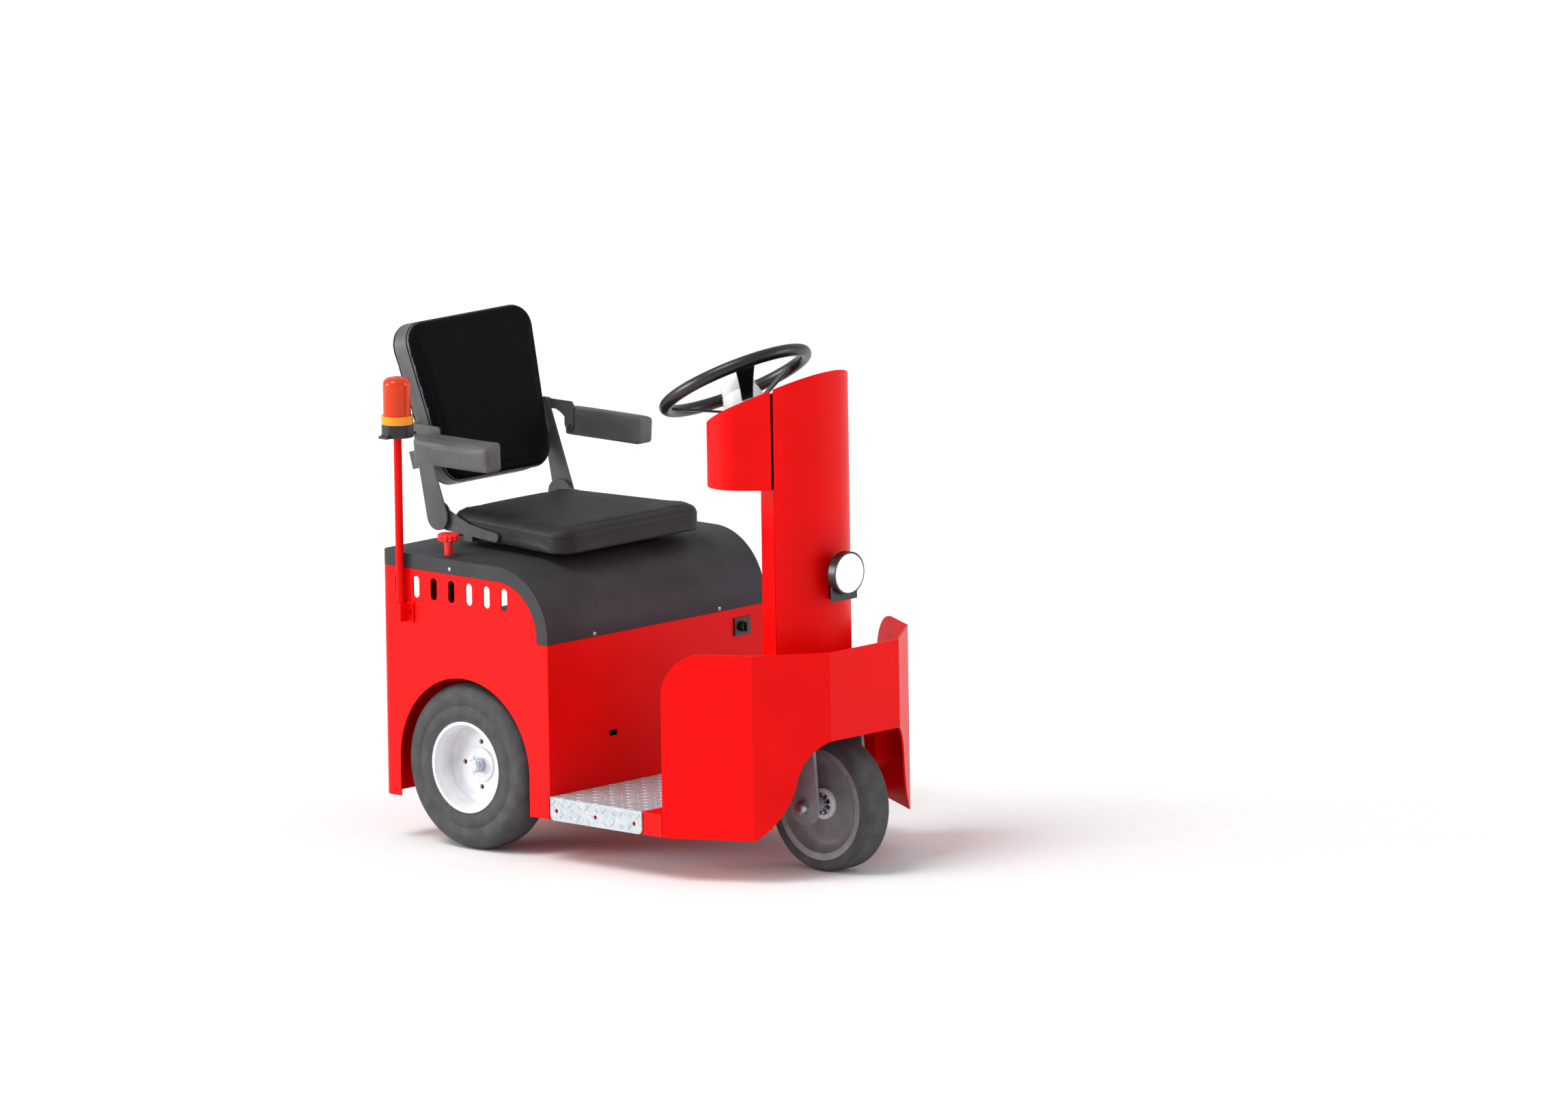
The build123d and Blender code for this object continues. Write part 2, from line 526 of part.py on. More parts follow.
def headlight_lens():
    lens = rod_x(0, LAMP_Z, LAMP_R - 4.2, LAMP_X + 18.2, LAMP_X + 32)
    return fillet(lens.edges().filter_by(GeomType.CIRCLE).group_by(Axis.X)[-1], 5)


def beacon_bracket():
    """D-shaped plate on the side panel with a clamp block round the pole."""
    y = -HALF_W
    plate = box(BEACON_X - 14, BEACON_X + 31, y - 4, y - 0.2, 498, 544)
    plate += rod_y(BEACON_X - 14, 521, 23, y - 4, y - 0.2)
    plate += box(BEACON_X - 13, BEACON_X + 13, y - 26, y - 3, 500, 542)
    return plate - rod_z(BEACON_X, BEACON_Y, POLE_R + 0.1, 400, 600) - rod_y(BEACON_X + 22, 521, 5, y - 10, y + 5)


def beacon_base():
    base = rod_z(BEACON_X, BEACON_Y, 35.5, 920, 945) + rod_z(BEACON_X, BEACON_Y, 36, 916, 922)
    for side in (1, -1):
        base += box(BEACON_X - 12, BEACON_X + 12, BEACON_Y + side * 38 - 10, BEACON_Y + side * 38 + 10, 916, 922)
    return base


def beacon_lens():
    lens = rod_z(BEACON_X, BEACON_Y, 31, 964.4, 1049)
    return fillet(lens.edges().filter_by(GeomType.CIRCLE).group_by(Axis.Z)[-1], 16)


# ---- seat --------------------------------------------------------------------------------------
def taper_pad(h0, h1, w0, w1, t0, t1, corner, edge):
    """Pad that is wider at one end: plan along local X, thickness along local Z."""
    pts = [(h0, -w0), (h1, -w1), (h1, w1), (h0, w0)]
    pad = extrude(make_face(Polyline(*pts, close=True)), amount=t1 - t0)
    pad = fillet(pad.edges().filter_by(Axis.Z), corner)
    pad = fillet(pad.edges().group_by(Axis.Z)[-1], edge)
    return Pos(0, 0, t0) * pad


def seat_cushion():
    return taper_pad(CUSHION_X0, CUSHION_X1, CUSHION_HALF0, CUSHION_HALF1, CUSHION_Z0, CUSHION_Z1, 45, 20)


def seat_base():
    """Two slide rails on the cover and the pan under the cushion."""
    pan = box(-440, -100, -160, 160, CUSHION_Z0 - 5, CUSHION_Z0 - 0.2)
    for side in (1, -1):
        pan += box(-420, -170, side * 120 - 18, side * 120 + 18, COVER_Z + 0.2, CUSHION_Z0 - 4)
    return pan


def seat_brackets():
    """Fixed side brackets of the seat; each ends in the backrest hinge."""
    lean = 7.1
    y_at = CUSHION_HALF0 + 1.5
    end = (190, -26, 10)
    bar = slab_y(outline_xz([(13, -31), (end[0], end[1] - end[2]), (end[0], end[1] + end[2]), (154, -13.5), (96, -7),
                             (50, 7), (27, 15), (0, HINGE_R - 1), (-10, 0)]), 0, 4)
    bar += rod_y(0, 0, HINGE_R, 0, 4) + rod_y(end[0], end[1], end[2], 0, 4)
    bar = Pos(HINGE_X, y_at, HINGE_Z) * Rot(0, 0, lean) * bar
    tab = box(HINGE_X + 77, HINGE_X + 107, 160.3, y_at + 13, CUSHION_Z0 - 5, CUSHION_Z0 - 0.5)
    tab += Pos(HINGE_X + 92, y_at + 13.4, CUSHION_Z0 + 10) * Rot(0, 0, lean) * Box(30, 4, 30)
    boss = rod_y(HINGE_X, HINGE_Z, 12, y_at + 1, BACK_PLATE_Y - 0.5)
    return both(bar + tab + boss)


def in_back(shape):
    """Backrest frame: local X up along the back, Y across, Z forward out of its face."""
    t = radians(BACK_TILT)
    pl = Plane(origin=(HINGE_X, 0, HINGE_Z), x_dir=(-sin(t), 0, cos(t)), z_dir=(cos(t), 0, sin(t)))
    return pl.location * shape


def backrest_pad():
    w = lambda h: 160.5 + 0.1 * h
    return in_back(taper_pad(BACK_H0, BACK_H1, w(BACK_H0), w(BACK_H1), BACK_N0, BACK_N1, 50, 20))


def backrest_frame():
    """Side plates from the hinge up to the arm pivots, and the strap behind the pad."""
    y0, y1 = BACK_PLATE_Y, BACK_PLATE_Y + PLATE_T
    g = asin((HINGE_R - PIVOT_R) / ARM_H)
    lower, upper = (HINGE_R * sin(g), HINGE_R * cos(g)), (ARM_H + PIVOT_R * sin(g), PIVOT_R * cos(g))
    plate = slab_y(outline_xz([(lower[0], -lower[1]), (upper[0], -upper[1]), upper, lower]), y0, y1)
    plate += rod_y(0, 0, HINGE_R, y0, y1) + rod_y(ARM_H, 0, PIVOT_R, y0, y1)
    plate += Pos(135, (y0 + y1) / 2, -20) * Box(40, PLATE_T, 44)
    frame = plate + Pos(0, -y0 - y1, 0) * plate
    frame += Pos(135, 0, BACK_N0 - 3.3) * Box(40, 2 * y1, 6)
    return in_back(frame)


def arm_pivot():
    t = radians(BACK_TILT)
    return HINGE_X - ARM_H * sin(t), HINGE_Z + ARM_H * cos(t)


def armrest_plate(side):
    """Flat arm from the pivot, with a round-ended lug down inside the pad."""
    px, pz = arm_pivot()
    y0, y1 = ARM_PLATE_Y, ARM_PLATE_Y + PLATE_T
    lug_x, lug_z, lug_r = ARM_X0 + 21, ARM_Z0 + 27.5, 13.5
    arm = slab_y(outline_xz([(px, pz - 12), (px + 27, pz - 12), (px + 44, pz - 20), (lug_x - lug_r, pz - 27),
                             (lug_x - lug_r, lug_z), (lug_x + lug_r, lug_z), (lug_x + lug_r, pz + 3),
                             (lug_x + 8, pz + 9.5), (px, pz + 9.5)]), y0, y1)
    arm += rod_y(px, pz, 12, y0, y1) + rod_y(lug_x, lug_z, lug_r, y0, y1)
    arm += rod_y(lug_x, lug_z, 7, y0 - 4, y0 + 1)
    arm += rod_y(px, pz, 8, BACK_PLATE_Y + PLATE_T + 0.6, y0 + 1)
    return arm if side > 0 else other_side(arm)


def armrest_pad(side):
    section = Polyline((ARM_X0, ARM_Y0, ARM_Z0), (ARM_X0, ARM_Y1 - 5, ARM_Z0), (ARM_X0, ARM_Y1, ARM_Z1 - 11),
                       (ARM_X0, ARM_Y0, ARM_Z1), close=True)
    pad = extrude(make_face(section), amount=ARM_X1 - ARM_X0, dir=(1, 0, 0))
    pad = fillet(pad.edges(), 8)
    return pad if side > 0 else other_side(pad)


# ---- tail and controls -------------------------------------------------------------------------
def tow_hitch():
    """Back plate, tongue with the draw-pin hole, and two gussets."""
    x = REAR_X
    hitch = box(x - 8.2, x - 0.2, -60, 60, 190, 330)
    hitch += slab_y(outline_xz([(x - 8, 250), (x - 75, 250), (x - 75, 270), (x - 8, 270)]), -35, 35)
    hitch += rod_z(x - 75, 0, 35, 250, 270)
    for side in (1, -1):
        hitch += slab_y(outline_xz([(x - 8, 205), (x - 60, 251), (x - 8, 251)]), side * 30 - 4, side * 30 + 4)
    return hitch - rod_z(x - 75, 0, 13, 200, 300)


def estop_button():
    knob = rod_z(ESTOP_X, ESTOP_Y, 10, COVER_Z + 3, 688)
    head = rod_z(ESTOP_X, ESTOP_Y, 24.6, 686, 704)
    for k in range(12):
        a = radians(30 * k)
        head -= rod_z(ESTOP_X + 27 * cos(a), ESTOP_Y + 27 * sin(a), 4, 680, 710)
    return knob + head + rod_z(ESTOP_X, ESTOP_Y, 23.6, COVER_Z + 0.2, COVER_Z + 3.2)


def key_switch():
    plate = box(0.2, 4, KEY_Y - 25, KEY_Y + 25, KEY_Z - 20, KEY_Z + 20)
    return plate + rod_x(KEY_Y, KEY_Z, 12, 3, 14) + box(12, 20, KEY_Y - 3, KEY_Y + 3, KEY_Z - 10, KEY_Z + 10)


def pedals():
    """Accelerator and brake plates on posts that rise from the toe board."""
    both_pedals = []
    for y, width in ((-235, 50), (235, 60)):
        post = slab_y(outline_xz([(405, 180.4), (417, 185.8), (417, 211), (405, 207)]), y - 6, y + 6)
        pad = Pos(405, y, 208) * Rot(0, -32, 0) * Box(90, width, 6)
        both_pedals.append(post + pad)
    return Compound(children=both_pedals)


PIECES = {
    "chassis_frame": chassis_frame, "rear_axle": rear_axle, "inner_walls": inner_walls,
    "battery_bearers": battery_bearers, "rear_panel": rear_panel, "front_panel": front_panel,
    "top_cover": top_cover, "tread_plate": tread_plate, "toe_board": toe_board, "bulkheads": bulkheads,
    "wheel_box": wheel_box, "apron": apron, "column_shell": column_shell, "column_back": column_back,
    "dash_pod": dash_pod, "dash_top": dash_top, "column_head": column_head, "steering_head": steering_head,
    "steering_rim": steering_rim, "steering_spokes": steering_spokes, "headlight_bracket": headlight_bracket,
    "headlight_housing": headlight_housing, "headlight_lens": headlight_lens, "beacon_bracket": beacon_bracket,
    "beacon_base": beacon_base, "beacon_lens": beacon_lens, "seat_cushion": seat_cushion, "seat_base": seat_base,
    "seat_brackets": seat_brackets, "backrest_pad": backrest_pad, "backrest_frame": backrest_frame,
    "tow_hitch": tow_hitch, "estop_button": estop_button, "key_switch": key_switch, "pedals": pedals,
    "front_tyre": front_tyre, "front_wheel_centre": front_wheel_centre, "steer_fork": steer_fork,
    "front_axle": front_axle,
}
SIDED = {"side_panel": side_panel, "rear_tyre": rear_tyre, "rear_rim": rear_rim, "armrest_plate": armrest_plate,
         "armrest_pad": armrest_pad}

for name, make in PIECES.items():
    save(name, make())
for name, make in SIDED.items():
    for side, label in ((1, "left"), (-1, "right")):
        save(f"{name}_{label}", make(side))

save("battery_block", box(-490, -60, -INNER_WALL_Y + 25, INNER_WALL_Y - 25, 292.3, BATTERY_TOP))
save("drive_motor", rod_x(0, AXLE_Z, 62, AXLE_X + 50.5, -80))
save("beacon_pole", rod_z(BEACON_X, BEACON_Y, POLE_R, 500, 915.8))
save("beacon_ring", rod_z(BEACON_X, BEACON_Y, 35.7, 945.3, 964))
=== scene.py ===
"""Ride-on airport baggage tug: finishes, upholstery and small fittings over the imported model.

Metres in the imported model's frame: X forward, Y to the driver's left, Z up, ground at Z 0.
Sizes are kept in millimetres and turned to metres where a mesh is written.
"""

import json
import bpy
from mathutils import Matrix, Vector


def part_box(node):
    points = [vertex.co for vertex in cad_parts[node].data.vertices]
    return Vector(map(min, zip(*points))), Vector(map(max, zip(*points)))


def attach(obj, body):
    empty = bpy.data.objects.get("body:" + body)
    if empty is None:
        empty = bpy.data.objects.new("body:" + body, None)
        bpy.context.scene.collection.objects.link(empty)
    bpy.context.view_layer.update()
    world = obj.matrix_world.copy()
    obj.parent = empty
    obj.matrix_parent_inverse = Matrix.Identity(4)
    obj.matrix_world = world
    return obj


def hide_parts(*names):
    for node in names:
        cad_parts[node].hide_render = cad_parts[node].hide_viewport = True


bl_info = {
    "name": "Baggage Tug Dresser",
    "version": (1, 0, 0),
    "blender": (4, 5, 0),
    "location": "3D View > Sidebar > Baggage Tug",
    "description": "Paints, upholsters and fits out a three-wheel airport baggage tug",
    "category": "Object",
}

from math import atan2, cos, exp, hypot, pi, radians, sin

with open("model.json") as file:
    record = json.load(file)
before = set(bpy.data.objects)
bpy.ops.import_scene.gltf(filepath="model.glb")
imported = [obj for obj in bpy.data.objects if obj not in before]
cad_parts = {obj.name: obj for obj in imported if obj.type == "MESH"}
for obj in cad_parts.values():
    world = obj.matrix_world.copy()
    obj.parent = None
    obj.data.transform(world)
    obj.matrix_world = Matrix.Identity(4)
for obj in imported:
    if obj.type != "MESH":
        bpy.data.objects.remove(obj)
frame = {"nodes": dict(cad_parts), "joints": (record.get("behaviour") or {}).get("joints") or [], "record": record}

import bmesh
import bpy
from mathutils import Matrix, Vector
from mathutils.bvhtree import BVHTree

NODES = frame["nodes"]
JOINTS = {joint["name"]: joint for joint in frame["joints"]}
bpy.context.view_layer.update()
MM = 0.001


def corners(node):
    """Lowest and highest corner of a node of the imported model, in millimetres."""
    low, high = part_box(node)
    return low / MM, high / MM


def pivot(joint):
    """Point on a joint's axis, in millimetres."""
    return Vector(JOINTS[joint]["pos_m"]) / MM


# ---- sizes and colours that a user may change ---------------------------------------------------
class TugSizes(bpy.types.PropertyGroup):
    """Sizes of the pieces that the dresser makes."""
    crown: bpy.props.FloatProperty(
        name="Pad crown", description="How far the stuffing pushes the face of a pad out",
        default=4 * MM, min=0.0, unit="LENGTH")
    welt: bpy.props.FloatProperty(
        name="Welt radius", description="Radius of the welts sewn round the cushion and the backrest",
        default=1.3 * MM, min=0.0, unit="LENGTH")
    stitch: bpy.props.FloatProperty(
        name="Stitch length", description="Length of one top stitch on the pads",
        default=5 * MM, min=0.001, unit="LENGTH")
    lozenge_length: bpy.props.FloatProperty(
        name="Tread bar length", description="Length of one raised bar on the floor plate",
        default=22 * MM, min=0.0, unit="LENGTH")
    lozenge_pitch: bpy.props.FloatProperty(
        name="Tread bar pitch", description="Distance between raised bars on the floor plate",
        default=26 * MM, min=0.005, unit="LENGTH")
    screw_radius: bpy.props.FloatProperty(
        name="Screw head radius", description="Radius of the button heads on the cover",
        default=4.6 * MM, min=0.0, unit="LENGTH")


class TugColours(bpy.types.PropertyGroup):
    """Colours of the finishes, as sRGB hex values."""
    body: bpy.props.StringProperty(
        name="Body", description="Powder coat of the body panels", default="E60505")
    cover: bpy.props.StringProperty(
        name="Cover", description="Textured powder coat of the top cover", default="3A3A3C")
    seat: bpy.props.StringProperty(
        name="Seat", description="Vinyl of the cushion", default="29292B")
    back: bpy.props.StringProperty(
        name="Backrest", description="Vinyl of the backrest", default="0A0A0B")
    rims: bpy.props.StringProperty(
        name="Rims", description="Stove enamel of the rear rims", default="E6E6E9")


def sizes():
    return bpy.context.scene.tug_sizes


def colours():
    return bpy.context.scene.tug_colours


# ---- node helpers -------------------------------------------------------------------------------
def linear(code):
    """sRGB hex to the linear RGBA that the shaders take."""
    parts = [int(code[k:k + 2], 16) / 255 for k in (0, 2, 4)]
    return tuple(c / 12.92 if c <= 0.04045 else ((c + 0.055) / 1.055) ** 2.4 for c in parts) + (1.0,)


def add(tree, kind, inputs, **settings):
    """Adds one node; an input is a value, or another node's output that is linked to it."""
    node = tree.nodes.new("ShaderNode" + kind)
    for key, value in settings.items():
        setattr(node, key, value)
    for key, value in inputs.items():
        if isinstance(value, bpy.types.NodeSocket):
            tree.links.new(value, node.inputs[key])
        else:
            node.inputs[key].default_value = value
    return node


def scale_for(millimetres):
    """Texture scale at which one cell of a noise or cell pattern spans this many millimetres."""
    return 1 / (millimetres * MM)


def finish(name, shader_values):
    """New material with one principled shader; returns it with its tree, shader and coordinates."""
    material = bpy.data.materials.new(name)
    material.use_nodes = True
    tree = material.node_tree
    tree.nodes.clear()
    shader = add(tree, "BsdfPrincipled", shader_values)
    add(tree, "OutputMaterial", {"Surface": shader.outputs["BSDF"]})
    place = add(tree, "TexCoord", {}).outputs["Object"]
    return material, tree, shader, place


def mottle(tree, shader, place, dark, light, span_mm, detail=3.0):
    """Base colour that drifts slowly between two close colours."""
    noise = add(tree, "TexNoise", {"Vector": place, "Scale": scale_for(span_mm), "Detail": detail})
    blend = add(tree, "MapRange", {"Value": noise.outputs["Fac"], "From Min": 0.35, "From Max": 0.65})
    mix = add(tree, "Mix", {"Factor": blend.outputs["Result"], "A": linear(dark), "B": linear(light)},
              data_type="RGBA")
    tree.links.new(mix.outputs["Result"], shader.inputs["Base Color"])


def relief(tree, shader, height, depth_mm, strength):
    """Bump from a pattern's height, as deep as the real texture."""
    bump = add(tree, "Bump", {"Height": height, "Strength": strength, "Distance": depth_mm * MM})
    tree.links.new(bump.outputs["Normal"], shader.inputs["Normal"])


def roughness_drift(tree, shader, place, span_mm, low, high):
    """Roughness that drifts slowly between two values."""
    noise = add(tree, "TexNoise", {"Vector": place, "Scale": scale_for(span_mm), "Detail": 4.0})
    drift = add(tree, "MapRange", {"Value": noise.outputs["Fac"], "To Min": low, "To Max": high})
    tree.links.new(drift.outputs["Result"], shader.inputs["Roughness"])


def shade(code, factor):
    """The same hue, lighter or darker, as another hex value."""
    return "".join(f"{min(255, round(int(code[k:k + 2], 16) * factor)):02X}" for k in (0, 2, 4))


# ---- finishes -----------------------------------------------------------------------------------
def gloss_powder_coat(name, code):
    """Mild steel, polyester powder coat, baked: smooth gloss with a faint orange peel."""
    material, tree, shader, place = finish(
        name, {"Metallic": 0.0, "IOR": 1.5, "Specular IOR Level": 0.1})
    mottle(tree, shader, place, shade(code, 0.98), shade(code, 1.02), 160)
    roughness_drift(tree, shader, place, 60, 0.34, 0.44)
    peel = add(tree, "TexNoise", {"Vector": place, "Scale": scale_for(5), "Detail": 1.0})
    relief(tree, shader, peel.outputs["Fac"], 0.06, 0.5)
    return material


def textured_powder_coat(name, code, depth_mm=0.12):
    """Mild steel, fine-texture powder coat: a dull sand-like skin that hides fingermarks."""
    material, tree, shader, place = finish(
        name, {"Metallic": 0.0, "IOR": 1.5, "Specular IOR Level": 0.14})
    mottle(tree, shader, place, shade(code, 0.94), shade(code, 1.06), 90)
    roughness_drift(tree, shader, place, 40, 0.42, 0.58)
    # the real grain is about 0.5 mm; it is drawn at 2 mm, the finest that still shows
    grain = add(tree, "TexNoise", {"Vector": place, "Scale": scale_for(2), "Detail": 2.0, "Roughness": 0.6})
    relief(tree, shader, grain.outputs["Fac"], depth_mm, 0.7)
    return material


def hot_dip_zinc(name, code):
    """Rolled steel, hot-dip galvanised: grey metal with flower-like crystals of about 9 mm."""
    material, tree, shader, place = finish(name, {"Metallic": 0.25, "Specular IOR Level": 0.25})
    crystal = add(tree, "TexVoronoi", {"Vector": place, "Scale": scale_for(9)})
    tone = add(tree, "RGBToBW", {"Color": crystal.outputs["Color"]})
    mix = add(tree, "Mix", {"Factor": tone.outputs["Val"], "A": linear(shade(code, 0.93)),
                            "B": linear(shade(code, 1.05))}, data_type="RGBA")
    tree.links.new(mix.outputs["Result"], shader.inputs["Base Color"])
    rough = add(tree, "MapRange", {"Value": tone.outputs["Val"], "To Min": 0.32, "To Max": 0.55})
    tree.links.new(rough.outputs["Result"], shader.inputs["Roughness"])
    relief(tree, shader, crystal.outputs["Distance"], 0.03, 0.4)
    return material


def zinc_plate(name, code):
    """Machined steel, electroplated with zinc: bright, with a fine uneven grain."""
    material, tree, shader, place = finish(name, {"Metallic": 1.0})
    mottle(tree, shader, place, shade(code, 0.9), shade(code, 1.1), 14)
    roughness_drift(tree, shader, place, 6, 0.24, 0.4)
    grain = add(tree, "TexNoise", {"Vector": place, "Scale": scale_for(1.5), "Detail": 2.0})
    relief(tree, shader, grain.outputs["Fac"], 0.02, 0.5)
    return material


def stove_enamel(name, code):
    """Pressed steel, stove-enamelled white: hard gloss with faint clouds of dust."""
    material, tree, shader, place = finish(
        name, {"Metallic": 0.0, "IOR": 1.52, "Specular IOR Level": 0.35})
    mottle(tree, shader, place, shade(code, 0.94), code, 45)
    roughness_drift(tree, shader, place, 25, 0.22, 0.36)
    peel = add(tree, "TexNoise", {"Vector": place, "Scale": scale_for(4), "Detail": 1.0})
    relief(tree, shader, peel.outputs["Fac"], 0.03, 0.4)
    return material


def moulded_rubber(name, code):
    """Carbon-black rubber, press-moulded: matt, slightly dusty, with a fine mould grain."""
    material, tree, shader, place = finish(
        name, {"Metallic": 0.0, "IOR": 1.52, "Specular IOR Level": 0.4})
    mottle(tree, shader, place, shade(code, 0.88), shade(code, 1.14), 35, detail=6.0)
    roughness_drift(tree, shader, place, 18, 0.58, 0.78)
    grain = add(tree, "TexNoise", {"Vector": place, "Scale": scale_for(2.2), "Detail": 4.0})
    relief(tree, shader, grain.outputs["Fac"], 0.12, 0.6)
    return material


def moulded_plastic(name, code, rough, ior):
    """Injection-moulded plastic: even colour, light spark-eroded grain from the mould."""
    material, tree, shader, place = finish(name, {"Metallic": 0.0, "IOR": ior})
    mottle(tree, shader, place, shade(code, 0.94), shade(code, 1.06), 30)
    roughness_drift(tree, shader, place, 20, *rough)
    grain = add(tree, "TexVoronoi", {"Vector": place, "Scale": scale_for(2.4)})
    relief(tree, shader, grain.outputs["Distance"], 0.05, 0.5)
    return material


def embossed_vinyl(name, code, gloss, rough):
    """PVC-coated cloth, calendered and embossed with a leather grain: soft sheen, fine creases."""
    material, tree, shader, place = finish(
        name, {"Metallic": 0.0, "IOR": 1.5, "Specular IOR Level": gloss})
    mottle(tree, shader, place, shade(code, 0.93), shade(code, 1.07), 70, detail=5.0)
    roughness_drift(tree, shader, place, 35, *rough)
    # the real grain is about 1.2 mm; it is drawn at 3.2 mm so that it shows
    warp = add(tree, "TexNoise", {"Vector": place, "Scale": scale_for(10), "Detail": 2.0})
    bent = add(tree, "Mix", {"Factor": 0.015, "A": place, "B": warp.outputs["Color"]}, data_type="VECTOR")
    cells = add(tree, "TexVoronoi", {"Vector": bent.outputs["Result"], "Scale": scale_for(3.2)},
                feature="DISTANCE_TO_EDGE")
    crease = add(tree, "MapRange", {"Value": cells.outputs["Distance"], "From Max": 0.18})
    relief(tree, shader, crease.outputs["Result"], 0.1, 0.35)
    return material


def lamp_polycarbonate(name, code, rib_mm, transmission, glow=0.0, coat=0.0):
    """Polycarbonate, injection-moulded in its colour, nearly opaque, with soft bands of ribs.

    The wave pattern repeats every 2 pi times rib_mm.
    """
    material, tree, shader, place = finish(name, {
        "Metallic": 0.0, "IOR": 1.58, "Roughness": 0.16, "Specular IOR Level": 0.25,
        "Transmission Weight": transmission, "Coat Weight": coat, "Coat Roughness": 0.05})
    mottle(tree, shader, place, shade(code, 0.96), code, 40)
    ribs = add(tree, "TexWave", {"Vector": place, "Scale": scale_for(rib_mm) / 20}, bands_direction="Z")
    relief(tree, shader, ribs.outputs["Fac"], 0.35, 0.35)
    if glow:
        shader.inputs["Emission Color"].default_value = linear(code)
        shader.inputs["Emission Strength"].default_value = glow
    return material


def make_finishes():
    """One material for each slot of the record, and those of fittings and of looks of their own."""
    c = colours()
    return {
        "red_paint": gloss_powder_coat("powder_coat_red_gloss", c.body),
        "dark_paint": textured_powder_coat("powder_coat_charcoal_textured", c.cover),
        "bracket_paint": textured_powder_coat("powder_coat_grey_textured", "58585A"),
        # a lighter copy of the bracket grey: painted light that makes up for the shade under the wing
        "fork_grey_painted_light": textured_powder_coat("powder_coat_grey_painted_light", "88888B"),
        "frame_paint": textured_powder_coat("chassis_paint_black", "222224", 0.08),
        "galvanised": hot_dip_zinc("hot_dip_galvanised_steel", "B4BCC0"),
        "white_paint": stove_enamel("stove_enamel_white", c.rims),
        "zinc": zinc_plate("zinc_plated_steel", "C3C9D6"),
        "tyre_rubber": moulded_rubber("tyre_rubber_moulded", "3B3B3C"),
        "wheel_plastic": moulded_plastic("nylon_wheel_moulded", "77777A", (0.42, 0.55), ior=1.53),
        "pad_vinyl": embossed_vinyl("vinyl_embossed_charcoal", c.seat, 0.2, (0.45, 0.6)),
        "black_plastic": moulded_plastic("abs_moulded_black", "0D0D0E", (0.3, 0.4), ior=1.54),
        "lamp_white": lamp_polycarbonate("polycarbonate_lens_clear", "FFFFFF", 9, 0.0, 0.25, 0.3),
        "beacon_orange": lamp_polycarbonate("polycarbonate_lens_orange", "E23A02", 8, 0.1),
        "beacon_amber": lamp_polycarbonate("polycarbonate_ring_amber", "F29A1E", 12, 0.0),
        "red_plastic": moulded_plastic("abs_moulded_red", "F01808", (0.25, 0.35), ior=1.54),
        "battery_grey": moulded_plastic("polypropylene_case_grey", "55565A", (0.5, 0.6), ior=1.49),
        "back_vinyl": embossed_vinyl("vinyl_embossed_black", c.back, 0.06, (0.6, 0.7)),
        # a lighter copy of the dark seat vinyl: painted sheen of the left light, on the armrests and the
        # backrest's sides
        "painted_sheen_vinyl": embossed_vinyl("vinyl_grey_painted_sheen", "58585A", 0.3, (0.4, 0.5)),
    }


def material_for(slot):
    """The finish of a slot or look; all of them are made the first time that one is asked for."""
    store = bpy.context.scene.tug_finishes
    if not len(store):
        for key, material in make_finishes().items():
            entry = store.add()
            entry.name = key
            entry.material = material
    return store[slot].material


class TugFinish(bpy.types.PropertyGroup):
    """One material slot of the record and the material made for it."""
    material: bpy.props.PointerProperty(
        name="Material", description="Material that stands for this slot", type=bpy.types.Material)


# ---- mesh helpers -------------------------------------------------------------------------------
SHARP_ANGLE = 38        # degrees between two faces above which their edge stays sharp


def piece(name, mesh_data, body, slot, smooth=True, look=None):
    """Links a mesh in millimetres as a piece that rides on a body and takes a slot's finish.

    look names another finish, for a piece that differs from the rest of its slot.
    """
    verts, faces = mesh_data
    mesh = bpy.data.meshes.new(name)
    mesh.from_pydata([Vector(v) * MM for v in verts], [], faces)
    made = bpy.data.objects.new(name, mesh)
    bpy.context.scene.collection.objects.link(made)
    tidy = bmesh.new()
    tidy.from_mesh(mesh)
    bmesh.ops.recalc_face_normals(tidy, faces=tidy.faces)
    tidy.to_mesh(mesh)
    tidy.free()
    if smooth:
        mesh.shade_smooth()
        mesh.set_sharp_from_angle(angle=radians(SHARP_ANGLE))
    mesh.materials.append(material_for(look or slot))
    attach(made, body)
    return made


def joined(parts):
    """Several (verts, faces) as one."""
    verts, faces = [], []
    for part_verts, part_faces in parts:
        start = len(verts)
        verts += part_verts
        faces += [[start + k for k in face] for face in part_faces]
    return verts, faces


def facing(point, direction):
    """Matrix that puts local Z along a direction, at a point in millimetres."""
    return Matrix.Translation(point) @ Vector(direction).to_track_quat("Z", "Y").to_matrix().to_4x4()


def walls(rows, count, closed):
    """Faces between rings of count points each; a closed run joins its last ring to its first."""
    faces = []
    for j in range(rows if closed else rows - 1):
        a, b = j * count, (j + 1) % rows * count
        faces += [[a + k, a + (k + 1) % count, b + (k + 1) % count, b + k] for k in range(count)]
    return faces


def capped(rows, count):
    """Walls of an open run of rings, with a face over each end."""
    return walls(rows, count, False) + [list(range(count))[::-1],
                                        [(rows - 1) * count + k for k in range(count)]]


SCALLOP = 3.2      # depth of a finger scallop in millimetres
CORE = 0.01        # radius of the first and last ring of a lathe profile that closes on its axis


